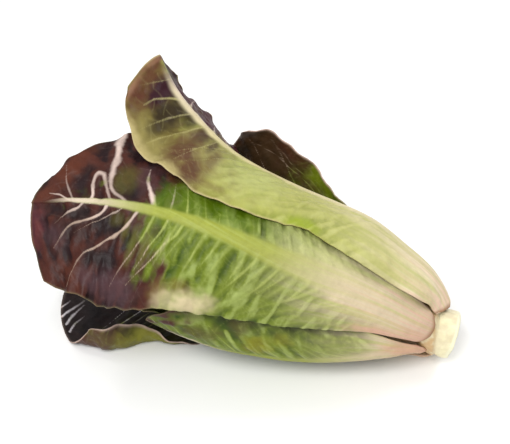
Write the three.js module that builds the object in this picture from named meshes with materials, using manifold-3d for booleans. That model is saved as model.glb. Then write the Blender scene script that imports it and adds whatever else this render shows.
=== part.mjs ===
// A red romaine lettuce head lying on its side.
// Millimetres, +Z up, resting on z = 0. The trimmed butt is towards +X, the leaf tips towards -X.
import * as THREE from 'three';
import Module from 'manifold-3d';
import { mergeVertices } from 'three/addons/utils/BufferGeometryUtils.js';

const wasm = await Module();
wasm.setup();

// ---------------------------------------------------------------- driving dimensions

const buttX = 118;              // the cut face of the butt
const bladeThickness = 0.9;     // a leaf between its veins
const marginThickness = 0.65;   // the very edge of a leaf
const ribThickness = 3.4;       // the rib where it is fleshiest, a little above the base
const ribHalfWidth = 8.5;
const baseThickness = 2.0;      // the leaf base on the stem
const stemClearance = 2.6;      // from the stem's skin to the middle of a leaf base
const innerLeafCount = 13;
const spiralStep = 137.5;       // degrees from one leaf to the next round the stem
const foldSoftness = 5;         // from the rib to where a folded leaf is half turned
const centreY = -9.55;          // the centre line's place across, so that the head's box is centred

// Each pair is [mm along the head from the cut face, mm].
const centreHeight = smoothCurve([
  [0, 17.5], [8, 19.2], [16, 23], [24, 28], [32, 32.5], [44, 38], [57, 42],
  [71, 45], [91, 48.5], [110, 52], [130, 55], [160, 57.5], [200, 59], [245, 59.5],
]);
const shellRadius = smoothCurve([
  [0, 11], [8, 15.2], [16, 21], [23, 25.5], [30, 28.8], [37, 32], [44, 35],
  [57, 40], [71, 43.8], [91, 46.8], [105, 49], [126, 52], [160, 54], [245, 54],
]);
const stemRadius = smoothCurve([
  [0, 13.2], [2, 14.2], [14, 13.6], [20, 11.6], [30, 8.4], [40, 5.6], [50, 3.2], [57, 0],
]);

// The knife's cuts round the butt: degrees round it, depth in mm and lean towards the cut face.
const knifeCutsAlong = 7;
const knifeCuts = [
  [-62, 0.9, 7], [-18, 1.1, 3], [31, 0.8, 9], [77, 1, 4],
  [118, 1.2, 8], [163, 0.8, 3], [-104, 1.1, 10], [-146, 0.9, 5],
];
const endCutTilt = 14;
const endCutDepth = 0.05;

const green = 0x8fa648;
const paleGreen = 0xb9c274;
const darkRed = 0x4a2226;
const olive = 0x7a6c3a;
const cream = 0xe6dcae;

// A rib row is [share of the leaf's length, mm along the head, mm out from its centre line,
// degrees round it, from straight up and positive towards +Y].
// A side row is [share of the length, half-width in mm, bend towards the heart in 1/m].
// "low" is the side of smaller angles and "high" the side of larger ones.
const outerLeaves = [
  {
    name: 'outer_leaf_front',
    colour: green,
    rib: [
      [0, 15, 15.6, -62], [0.05, 26, 24, -62], [0.12, 43, 31.5, -60], [0.2, 61, 37.5, -57.5],
      [0.32, 90, 43.8, -53.5], [0.46, 122, 48.5, -45.5], [0.6, 154, 50, -34], [0.67, 169, 49, -29.2],
      [0.74, 184, 47.5, -25.8], [0.81, 198.5, 45.3, -24.2], [0.88, 213, 43, -24], [1, 236, 39, -26],
    ],
    low: [
      [0, 5, 60], [0.08, 9, 28], [0.2, 17.5, 20], [0.35, 27.5, 17], [0.5, 39, 15], [0.62, 50, 13],
      [0.7, 54.5, 12], [0.76, 53, 11], [0.82, 50.5, 10], [0.88, 47.5, 9], [0.94, 44, 9], [1, 30, 9],
    ],
    high: [
      [0, 13, 60], [0.08, 18, 43], [0.2, 25, 28.5], [0.35, 34, 23.5], [0.52, 43, 21], [0.7, 56, 15],
      [0.79, 56, 9], [0.846, 42, 6], [0.893, 32, 6], [0.94, 22, 6], [1, 10, 6],
    ],
    tipFrom: 0.94,
    wave: [1.9, 7.5, 0.4],
  },
  {
    name: 'outer_leaf_top',
    colour: olive,
    rib: [
      [0, 7, 15.8, 41], [0.05, 13, 22.5, 41], [0.1, 21, 28.2, 41], [0.18, 37, 33.6, 41],
      [0.27, 57, 40.5, 41], [0.36, 76, 44, 41], [0.46, 97, 47.6, 41], [0.56, 118, 52.5, 41],
      [0.63, 133, 58, 41], [0.69, 144, 64.5, 41], [0.76, 155, 73, 41], [0.83, 165.5, 82.5, 41],
      [0.9, 174, 92.5, 41], [1, 183, 107, 41],
    ],
    low: [
      [0, 18, 60], [0.05, 27, 45], [0.1, 37, 35], [0.18, 44, 28.5], [0.27, 47.5, 23.5], [0.34, 46.5, 21.8],
      [0.4, 45, 20.5], [0.47, 48.5, 19.5], [0.56, 53, 18.5], [0.63, 52, 17], [0.69, 49.5, 14],
      [0.76, 45.5, 9], [0.83, 39.5, 6], [0.89, 32.5, 5], [0.94, 22, 4], [1, 8, 6],
    ],
    high: [
      [0, 15, 60], [0.08, 18, 40], [0.18, 24, 31], [0.3, 34, 24.5], [0.45, 40, 20], [0.58, 40, 10],
      [0.7, 38, 4], [0.8, 32, 2], [0.9, 22, 2], [1, 8, 2],
    ],
    lowFold: [
      [0, 0], [0.5, 0], [0.56, 2], [0.63, 7], [0.69, 18], [0.76, 36], [0.83, 52], [0.89, 60], [1, 66],
    ],
    highFold: [[0, 0], [0.45, 0], [0.58, -4], [0.7, -9], [0.8, -9], [0.9, -7], [1, -3]],
    tipFrom: 0.93,
    wave: [1.5, 6.5, 1.9],
  },
  {
    name: 'outer_leaf_back',
    colour: darkRed,
    rib: [
      [0, 9, 15.8, 112], [0.1, 23, 27.5, 110], [0.25, 48, 39.5, 107], [0.42, 76, 49, 102], [0.6, 105, 59, 97],
      [0.8, 133, 68, 93], [1, 150, 74, 92],
    ],
    low: [
      [0, 11, 60], [0.12, 13, 35], [0.25, 17, 24], [0.42, 25, 12], [0.55, 34, 3], [0.7, 43, 1], [0.8, 45, 1],
      [0.88, 40, 1], [1, 24, 1],
    ],
    high: [
      [0, 7, 60], [0.12, 8, 35], [0.25, 14, 24], [0.42, 22, 18], [0.6, 31, 12], [0.75, 36, 10], [0.88, 32, 8],
      [1, 18, 8],
    ],
    tipFrom: 0.88,
    wave: [2.4, 6, 0.9],
  },
  {
    name: 'outer_leaf_floor',
    colour: olive,
    rib: [
      [0, 12, 15.6, 176], [0.05, 22, 21.5, 176], [0.12, 38, 31.6, 175], [0.2, 57, 41.6, 172],
      [0.32, 84, 47.7, 171], [0.46, 116, 53.3, 170], [0.6, 148, 57.4, 169.5], [0.74, 180, 58.7, 169.5],
      [0.88, 208, 59.2, 170], [1, 234, 58.8, 172],
    ],
    low: [
      [0, 10, 60], [0.08, 13, 46], [0.2, 21, 30], [0.35, 33, 23], [0.52, 46, 16], [0.7, 50, 10], [0.8, 46, 8],
      [0.88, 36, 6], [1, 16, 5],
    ],
    high: [
      [0, 9, 60], [0.08, 9, 40], [0.2, 10, 22], [0.35, 11, 16], [0.5, 16, 12], [0.6, 26, 6], [0.7, 44, 2],
      [0.78, 57, 2], [0.84, 60, 2], [0.88, 56, 2], [1, 30, 2],
    ],
    // the margin nearest the front turns up off the floor
    highTurn: [
      [0, 99, 0], [0.5, 40, 10], [0.6, 18, 50], [0.7, 17, 74], [0.78, 22, 64], [0.84, 26, 62],
      [0.88, 25, 68], [1, 25, 60],
    ],
    tipFrom: 0.88,
    wave: [1.3, 6, 0.2],
  },
  {
    name: 'outer_leaf_low',
    colour: paleGreen,
    rib: [
      [0, 17, 14.9, -123], [0.06, 25, 18.9, -124], [0.14, 38, 27.4, -127], [0.25, 55, 35.8, -129.5],
      [0.4, 80, 43.4, -131], [0.55, 104, 47.4, -131], [0.7, 127, 49, -131], [0.85, 150, 46.5, -130],
      [1, 172, 41, -129],
    ],
    low: [
      [0, 12, 60], [0.1, 14, 45], [0.25, 17, 29], [0.42, 21, 25], [0.6, 26, 24], [0.75, 28, 25], [0.88, 24, 26],
      [1, 14, 27],
    ],
    high: [
      [0, 5, 60], [0.07, 8, 56], [0.14, 16, 52], [0.25, 26, 48], [0.42, 33, 40], [0.6, 37, 35],
      [0.75, 35, 32], [0.88, 28, 30], [1, 16, 30],
    ],
    tipFrom: 0.88,
    wave: [1.3, 5, 1.1],
    fleshy: 0.85,
  },
];

// ---------------------------------------------------------------- curves

// A smooth curve through points that never overshoots them.
function smoothCurve(points) {
  const x = points.map((point) => point[0]);
  const y = points.map((point) => point[1]);
  const last = x.length - 1;
  const rise = x.slice(1).map((value, i) => (y[i + 1] - y[i]) / (value - x[i]));
  const slope = [rise[0]];
  for (let i = 1; i < last; i += 1) {
    const before = x[i] - x[i - 1];
    const after = x[i + 1] - x[i];
    const turns = rise[i - 1] * rise[i] <= 0;
    const w1 = 2 * after + before;
    const w2 = after + 2 * before;
    slope.push(turns ? 0 : (w1 + w2) / (w1 / rise[i - 1] + w2 / rise[i]));
  }
  slope.push(rise[last - 1]);
  return (at) => {
    if (at <= x[0]) return y[0] + (at - x[0]) * slope[0];
    if (at >= x[last]) return y[last] + (at - x[last]) * slope[last];
    let i = 0;
    while (at > x[i + 1]) i += 1;
    const step = x[i + 1] - x[i];
    const s = (at - x[i]) / step;
    return (1 + 2 * s) * (1 - s) ** 2 * y[i] + s * (1 - s) ** 2 * step * slope[i]
      + s * s * (3 - 2 * s) * y[i + 1] + s * s * (s - 1) * step * slope[i + 1];
  };
}

const column = (rows, i) => smoothCurve(rows.map((row) => [row[0], row[i]]));
const ease = (value) => THREE.MathUtils.smoothstep(value, 0, 1);

// A point of the head, given along it, out from its centre line and round it.
function place(along, out, degrees) {
  const angle = THREE.MathUtils.degToRad(degrees);
  const across = centreY + out * Math.sin(angle);
  return new THREE.Vector3(buttX - along, across, centreHeight(along) + out * Math.cos(angle));
}

// ---------------------------------------------------------------- leaf surface

function arc(length, bend) {
  if (Math.abs(bend) < 1e-6) return [length, 0];
  return [Math.sin(bend * length) / bend, (1 - Math.cos(bend * length)) / bend];
}

// One half of a leaf's cross-section: an arc from the rib, then a tighter arc past the turn.
// It returns how far across and how far in towards the heart the point lies.
function crossSection(distance, bend, turnAt, turnBend, foldDegrees) {
  const first = Math.min(distance, turnAt);
  const [across, inward] = arc(first, bend);
  const [onAcross, onInward] = arc(distance - first, turnBend);
  const heading = bend * first;
  const x = across + Math.cos(heading) * onAcross - Math.sin(heading) * onInward;
  const y = inward + Math.sin(heading) * onAcross + Math.cos(heading) * onInward;
  const share = distance ** 2 / (distance ** 2 + foldSoftness ** 2);
  const fold = THREE.MathUtils.degToRad(foldDegrees) * share;
  return [x * Math.cos(fold) - y * Math.sin(fold), x * Math.sin(fold) + y * Math.cos(fold)];
}

class LeafForm {
  constructor(leaf) {
    this.leaf = leaf;
    this.along = column(leaf.rib, 1);
    this.out = column(leaf.rib, 2);
    this.round = column(leaf.rib, 3);
    this.sides = {};
    for (const side of ['low', 'high']) {
      const flat = [[0, 0], [1, 0]];
      const noTurn = [[0, 999, 0], [1, 999, 0]];
      const turn = leaf[`${side}Turn`] ?? noTurn;
      this.sides[side] = {
        width: column(leaf[side], 1),
        bend: column(leaf[side], 2),
        turnAt: column(turn, 1),
        turnBend: column(turn, 2),
        fold: smoothCurve(leaf[`${side}Fold`] ?? flat),
      };
    }
  }

  ribPoint(share) {
    return place(this.along(share), this.out(share), this.round(share));
  }

  // The leaf's own directions at a place on its rib: outwards and across. They follow the rib over
  // a tenth of its length, so that a tight turn of it doesn't fold the blade over itself.
  ribFrame(share) {
    const step = 0.05;
    const forward = this.ribPoint(share + step).sub(this.ribPoint(share - step)).normalize();
    const angle = THREE.MathUtils.degToRad(this.round(share));
    const outward = new THREE.Vector3(0, Math.sin(angle), Math.cos(angle));
    outward.addScaledVector(forward, -outward.dot(forward)).normalize();
    const across = new THREE.Vector3().crossVectors(forward, outward);
    return { outward, across };
  }

  // A point of the leaf's middle surface: row runs 0 to 1 up the leaf, span -1 to 1 across it.
  point(row, span) {
    const { tipFrom, wave } = this.leaf;
    const edgeShare = row * tipFrom;
    const share = edgeShare + (1 - tipFrom) * row ** 3.4 * (1 - span * span);
    const side = this.sides[span < 0 ? 'low' : 'high'];
    const distance = Math.abs(span) * side.width(edgeShare);
    const [across, inward] = crossSection(
      distance, side.bend(share) / 1000, side.turnAt(share), side.turnBend(share) / 1000, side.fold(share));
    const [waveHeight, waveCount, wavePhase] = wave;
    const ripple = waveHeight * ease((share - 0.3) / 0.4) * Math.abs(span) ** 2.5
      * Math.sin(2 * Math.PI * (waveCount * share + wavePhase) + 1.5 * span);
    const frame = this.ribFrame(share);
    const point = this.ribPoint(share);
    point.addScaledVector(frame.across, Math.sign(span) * across);
    point.addScaledVector(frame.outward, ripple - inward);
    point.z = Math.max(point.z, bladeThickness / 2);
    return { point, share, distance };
  }

  // Thickness of the leaf: fleshy at the base and along the rib, thin at the edge.
  thickness(share, span, distance) {
    const fleshy = this.leaf.fleshy ?? 1;
    const base = (baseThickness * fleshy - bladeThickness) * (1 - ease(share / 0.22));
    const blade = THREE.MathUtils.lerp(bladeThickness, marginThickness, Math.abs(span) ** 3);
    const swelling = 0.35 + 0.65 * ease(share / 0.12);
    const tapering = (1 - ease((share - 0.1) / 0.9)) ** 0.8;
    const height = (ribThickness * fleshy - bladeThickness) * swelling * tapering;
    const width = ribHalfWidth * fleshy * (1 - 0.75 * share);
    const rib = height * Math.exp(-((distance / width) ** 2));
    const body = blade + base * (1 - Math.abs(span) ** 4);
    return { outer: body / 2 + rib * 0.8, inner: body / 2 + rib * 0.2 };
  }
}

// ---------------------------------------------------------------- solids

// A leaf as a closed solid: two sheets split into like triangles, joined round the rim.
function leafGeometry(leaf) {
  const form = new LeafForm(leaf);
  const { rows, columns } = leaf;
  const sheet = new THREE.PlaneGeometry(2, 1, columns, rows);
  const grid = sheet.getAttribute('position');
  const middle = [];
  for (let i = 0; i < grid.count; i += 1) {
    const span = Math.sign(grid.getX(i)) * Math.abs(grid.getX(i)) ** 1.15;
    middle.push({ span, ...form.point(grid.getY(i) + 0.5, span) });
  }
  const wide = columns + 1;
  const at = (row, col) => {
    const heldRow = THREE.MathUtils.clamp(row, 0, rows);
    return middle[heldRow * wide + THREE.MathUtils.clamp(col, 0, columns)].point;
  };
  const outer = [];
  const inner = [];
  middle.forEach(({ point, share, span, distance }, i) => {
    const row = Math.floor(i / wide);
    const col = i % wide;
    const across = at(row, col + 1).clone().sub(at(row, col - 1));
    const forward = at(row - 1, col).clone().sub(at(row + 1, col));
    const outward = across.cross(forward).normalize();
    const thickness = form.thickness(share, span, distance);
    const outside = point.clone().addScaledVector(outward, thickness.outer);
    const inside = point.clone().addScaledVector(outward, -thickness.inner);
    outside.z = Math.max(outside.z, 0);
    outer.push(...outside.toArray());
    inner.push(...inside.toArray());
  });
  const sheetIndex = Array.from(sheet.getIndex().array);
  const index = [];
  for (let i = 0; i < sheetIndex.length; i += 3) {
    const [a, b, c] = sheetIndex.slice(i, i + 3);
    index.push(a, b, c);
    index.push(a + grid.count, c + grid.count, b + grid.count);
  }
  const rim = [];
  for (let col = 0; col < columns; col += 1) rim.push(col);
  for (let row = 0; row < rows; row += 1) rim.push(row * wide + columns);
  for (let col = columns; col > 0; col -= 1) rim.push(rows * wide + col);
  for (let row = rows; row > 0; row -= 1) rim.push(row * wide);
  rim.forEach((from, i) => {
    const to = rim[(i + 1) % rim.length];
    index.push(from, to, to + grid.count, from, to + grid.count, from + grid.count);
  });
  const geometry = new THREE.BufferGeometry();
  geometry.setAttribute('position', new THREE.Float32BufferAttribute([...outer, ...inner], 3));
  geometry.setIndex(index);
  return geometry;
}

function toManifold(geometry) {
  const plain = geometry.clone();
  plain.deleteAttribute('normal');
  plain.deleteAttribute('uv');
  const merged = mergeVertices(plain, 1e-3);
  const vertProperties = new Float32Array(merged.getAttribute('position').array);
  const triVerts = new Uint32Array(merged.getIndex().array);
  return new wasm.Manifold(new wasm.Mesh({ numProp: 3, vertProperties, triVerts }));
}

function fromManifold(solid) {
  const mesh = solid.getMesh();
  const geometry = new THREE.BufferGeometry();
  geometry.setAttribute('position', new THREE.BufferAttribute(mesh.vertProperties, mesh.numProp));
  geometry.setIndex(new THREE.BufferAttribute(mesh.triVerts, 1));
  return geometry;
}

// The stem: a short butt trimmed by knife, narrowing to a point inside the head.
function stemGeometry() {
  const sides = 26;
  const heights = [0, 2, 8, 14, 20, 30, 40, 50];
  const profile = [new THREE.Vector2(0, 0)];
  for (const along of heights) profile.push(new THREE.Vector2(stemRadius(along), along));
  profile.push(new THREE.Vector2(0, 57));
  const stem = new THREE.LatheGeometry(profile, sides);
  const position = stem.getAttribute('position');
  for (let i = 0; i < position.count; i += 1) {
    const along = position.getY(i);
    const height = centreHeight(along) + position.getZ(i);
    position.setXYZ(i, buttX - along, centreY + position.getX(i), height);
  }
  let trimmed = toManifold(stem);
  for (const [round, depth, tilt] of knifeCuts) {
    const around = THREE.MathUtils.degToRad(round);
    const lean = THREE.MathUtils.degToRad(tilt);
    const outward = new THREE.Vector3(
      Math.sin(lean), Math.cos(lean) * Math.sin(around), Math.cos(lean) * Math.cos(around));
    const onCut = place(knifeCutsAlong, stemRadius(knifeCutsAlong) - depth, round);
    trimmed = trimmed.trimByPlane(outward.clone().negate().toArray(), -outward.dot(onCut));
  }
  const endTilt = THREE.MathUtils.degToRad(endCutTilt);
  const endward = new THREE.Vector3(Math.cos(endTilt), 0, -Math.sin(endTilt));
  const highestOfEnd = place(0, stemRadius(0), 0);
  trimmed = trimmed.trimByPlane(endward.clone().negate().toArray(), -endward.dot(highestOfEnd) + endCutDepth);
  return fromManifold(trimmed);
}

// A leaf of the heart: [share of its length, half-width as a share of its widest].
const heartOutline = [
  [0, 0.15], [0.06, 0.19], [0.15, 0.3], [0.3, 0.52], [0.5, 0.82], [0.68, 1], [0.8, 0.97], [0.88, 0.78], [1, 0.3],
];
const heartRibShares = [0, 0.04, 0.09, 0.15, 0.22, 0.3, 0.42, 0.56, 0.7, 0.84, 1];

// The leaves of the heart follow shells round the centre line, each inside the one before.
function innerLeaf(number) {
  const firstAngle = 92.5;
  const turns = number === 0 ? 0 : number + 1;
  const start = 17 + 2.4 * number;
  const onStem = stemRadius(start) + stemClearance;
  const end = 222 - 7.5 * number;
  const shell = (number === 0 ? 0.83 : 0.8) - 0.047 * number;
  const halfWidth = 54 - 2.4 * number;
  const narrowing = 0.09 + 0.012 * number;
  const lean = 0.03 * Math.sin(2.1 * number);
  const angle = firstAngle + spiralStep * turns;
  const rib = heartRibShares.map((share) => {
    const along = start + (end - start) * share;
    const settled = ease((along - start) / 34);
    const closing = 1 - (narrowing + lean) * ease((share - 0.5) / 0.5);
    const onShell = shell * shellRadius(along);
    return [share, along, ((1 - settled) * onStem + settled * onShell) * closing, angle];
  });
  const out = column(rib, 2);
  const side = heartOutline.map(([share, width]) => {
    const widest = 2.6 * out(share);
    const bend = (0.93 + 0.07 * ease(share / 0.3)) * 1000 / out(share);
    return [share, Math.min(halfWidth * width, widest), bend];
  });
  return {
    name: `inner_leaf_${String(number + 1).padStart(2, '0')}`,
    colour: number % 2 ? green : paleGreen,
    rib,
    low: side,
    high: side,
    tipFrom: 0.9,
    wave: [number < 1 ? 2 : 1.2, 5, 0.27 * number],
    fleshy: number < 2 ? 0.75 : 0.6 - 0.012 * number,
    rows: [18, 14, 14][number] ?? 10,
    columns: [12, 10, 10][number] ?? 7,
  };
}

// ---------------------------------------------------------------- the head

function addPiece(group, name, geometry, colour, roughness) {
  const material = new THREE.MeshStandardMaterial({ color: colour, roughness, metalness: 0 });
  const mesh = new THREE.Mesh(geometry, material);
  mesh.name = name;
  group.add(mesh);
}

const head = new THREE.Group();
addPiece(head, 'stem', stemGeometry(), cream, 0.6);
for (const leaf of outerLeaves) {
  addPiece(head, leaf.name, leafGeometry({ rows: 22, columns: 14, ...leaf }), leaf.colour, 0.4);
}
for (let number = 0; number < innerLeafCount; number += 1) {
  const leaf = innerLeaf(number);
  addPiece(head, leaf.name, leafGeometry(leaf), leaf.colour, 0.4);
}

export default head;
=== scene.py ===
"""Dresses the lettuce head: fine leaves with ribs, veins and puckers, the trimmed butt and the stage."""

import math

import bpy
import numpy as np
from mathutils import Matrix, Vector
from mathutils.kdtree import KDTree


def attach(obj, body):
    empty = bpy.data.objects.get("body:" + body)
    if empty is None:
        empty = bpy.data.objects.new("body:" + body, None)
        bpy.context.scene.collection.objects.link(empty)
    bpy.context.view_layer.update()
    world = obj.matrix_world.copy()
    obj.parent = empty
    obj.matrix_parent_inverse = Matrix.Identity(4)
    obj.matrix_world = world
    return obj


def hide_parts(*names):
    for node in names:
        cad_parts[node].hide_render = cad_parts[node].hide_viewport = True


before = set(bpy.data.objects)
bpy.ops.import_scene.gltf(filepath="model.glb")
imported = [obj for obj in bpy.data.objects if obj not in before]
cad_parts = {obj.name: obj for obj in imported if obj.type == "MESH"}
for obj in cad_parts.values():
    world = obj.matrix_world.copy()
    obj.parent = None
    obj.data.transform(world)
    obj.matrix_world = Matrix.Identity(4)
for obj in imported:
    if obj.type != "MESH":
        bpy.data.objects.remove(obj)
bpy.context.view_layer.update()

bl_info = {
    "name": "Romaine lettuce head",
    "version": (1, 0, 0),
    "blender": (4, 5, 0),
    "location": "View3D > Sidebar > Lettuce",
    "description": "Finer leaves, butt and stage for a lettuce head lying on its side",
    "category": "Object",
}

# ---------------------------------------------------------------- sizes, in millimetres

BUTT_X = 118.0
CENTRE_Y = -9.55
BASE_THICKNESS = 2.0
MARGIN_THICKNESS = 0.65
RIB_HALF_WIDTH = 8.5
STEM_CLEARANCE = 2.6
COLLAR_RADIUS = 15.1
STEM_RING_GAP = 0.8
STEM_SIDES = 120

# The inner leaves: how many there are, how many of them are green, and the degrees from one to the next.
INNER_LEAF_COUNT = 13
GREEN_INNER_LEAVES = 5
SPIRAL_STEP = 137.5

# The relief and the marks of a blade, as they lie on the leaf laid flat.
VEIN_SPREAD = 1.35
FINE_VEIN_SPREAD = 1.5
PUCKER_PATCH = 7.0
BLISTER_WIDTH = 3.6
BLISTER_STRETCH = 2.8
SMALL_BLISTER_WIDTH = 1.8
BUCKLE_WIDTH = 24.0
SMALL_BUCKLE_WIDTH = 11.0
CRINKLE_WIDTH = 3.0
GROOVE_WIDTH = 2.8
GROOVE_DEPTH = 0.3
FRILL_LENGTH = 13.0
FRILL_DRIFT = 30.0
CLOUD_WIDTH = 14.0
RAG_WIDTH = 5.0
SMALL_RAG_WIDTH = 2.2
MARGIN_LINE = 0.7
LONGEST_VEIN = 200.0
THINNEST_VEIN = 0.35

# Shares of a leaf's length where the angles of its veins and the widths of its rib are given.
ANGLE_SHARES = (0, 0.2, 0.45, 0.8, 1)
RIB_SHARES = (0, 0.3, 0.6, 1)

# Colours laid on below this row of a leaf also lie over its foot.
FOOT_ROWS = 0.2

# Seeds of the outer and the inner leaves; each leaf adds its own number.
OUTER_SEED = 20
INNER_SEED = 60

# Each pair is (mm along the head from the cut face, mm).
CENTRE_HEIGHTS = [
    (0, 17.5), (8, 19.2), (16, 23), (24, 28), (32, 32.5), (44, 38), (57, 42),
    (71, 45), (91, 48.5), (110, 52), (130, 55), (160, 57.5), (200, 59), (245, 59.5),
]
SHELL_RADII = [
    (0, 11), (8, 15.2), (16, 21), (23, 25.5), (30, 28.8), (37, 32), (44, 35),
    (57, 40), (71, 43.8), (91, 46.8), (105, 49), (126, 52), (160, 54), (245, 54),
]
STEM_RADII = [(0, 13.2), (2, 14.2), (14, 13.6), (20, 11.6), (30, 8.4), (40, 5.6), (50, 3.2), (57, 0)]

# The knife's cuts round the butt: degrees round it, depth in mm and lean towards the cut face.
KNIFE_CUTS_ALONG = 7.0
KNIFE_CUTS = [
    (-62, 0.9, 7), (-18, 1.1, 3), (31, 0.8, 9), (77, 1.0, 4), (118, 1.2, 8), (163, 0.8, 3),
    (-104, 1.1, 10), (-146, 0.9, 5),
]
END_CUT_TILT = 14.0
END_CUT_DEPTH = 0.05

# The stage, in metres: the floor, the camera and its lens in mm, and the lamps, each given as its name,
# place, aim, width and power.
FLOOR_WIDTH = 8
FLOOR_DROP = 0.0002
SKY_STRENGTH = 0.62
CAMERA_AT = (0.1047, -0.59365, 0.5824)
CAMERA_AIM = (-0.0017, 0.00985, 0.0682)
CAMERA_LENS = 100.8
CAMERA_SENSOR = 36
LAMPS = [
    ("key_lamp", (-0.1, -0.55, 0.75), (0, 0, 0.06), 0.5, 7),
    ("back_lamp", (0.45, 0.5, 0.75), (0, 0, 0.06), 0.6, 4),
    ("gloss_lamp", (-0.45, 0.1, 0.7), (-0.08, 0, 0.08), 0.1, 0.7),
]

# An inner leaf's outline: shares of its length and of its greatest half-width.
INNER_OUTLINE = [
    (0, 0.15), (0.06, 0.19), (0.15, 0.3), (0.3, 0.52), (0.5, 0.82), (0.68, 1), (0.8, 0.97), (0.88, 0.78),
    (1, 0.3),
]

# ---------------------------------------------------------------- curves and the leaf's form


def smooth_curve(points):
    """A smooth curve through points that never overshoots them; it runs on straight past both ends."""
    x = np.array([point[0] for point in points], float)
    y = np.array([point[1] for point in points], float)
    step = np.diff(x)
    rise = np.diff(y) / step
    slope = np.concatenate([rise[:1], np.zeros(len(x) - 2), rise[-1:]])
    for i in range(1, len(x) - 1):
        if rise[i - 1] * rise[i] > 0:
            before = 2 * step[i] + step[i - 1]
            after = step[i] + 2 * step[i - 1]
            slope[i] = (before + after) / (before / rise[i - 1] + after / rise[i])

    def value(at):
        at = np.asarray(at, float)
        i = np.clip(np.searchsorted(x, at, side="right") - 1, 0, len(step) - 1)
        s = (at - x[i]) / step[i]
        inside = (1 + 2 * s) * (1 - s) ** 2 * y[i] + s * (1 - s) ** 2 * step[i] * slope[i]
        inside = inside + s * s * (3 - 2 * s) * y[i + 1] + s * s * (s - 1) * step[i] * slope[i + 1]
        below = y[0] + (at - x[0]) * slope[0]
        above = y[-1] + (at - x[-1]) * slope[-1]
        return np.where(at <= x[0], below, np.where(at >= x[-1], above, inside))

    return value


def column(rows, i):
    """A smooth curve through one column of rows that begin with the share of the length."""
    return smooth_curve([(row[0], row[i]) for row in rows])


def ease(value):
    """A soft step from 0 to 1."""
    s = np.clip(value, 0, 1)
    return s * s * (3 - 2 * s)


centre_height = smooth_curve(CENTRE_HEIGHTS)
shell_radius = smooth_curve(SHELL_RADII)
stem_radius = smooth_curve(STEM_RADII)


def place(along, out, degrees):
    """Points of the head, given along it, out from its centre line and round it."""
    angle = np.radians(degrees)
    across = CENTRE_Y + out * np.sin(angle)
    height = centre_height(along) + out * np.cos(angle)
    return np.stack(np.broadcast_arrays(BUTT_X - along, across, height), axis=-1)


def unit(vectors):
    return vectors / np.maximum(np.linalg.norm(vectors, axis=-1, keepdims=True), 1e-9)


def arc(length, bend):
    """How far over and how far in an arc of that bend ends."""
    safe = np.where(np.abs(bend) < 1e-6, 1e-6, bend)
    return np.sin(safe * length) / safe, (1 - np.cos(safe * length)) / safe


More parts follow.
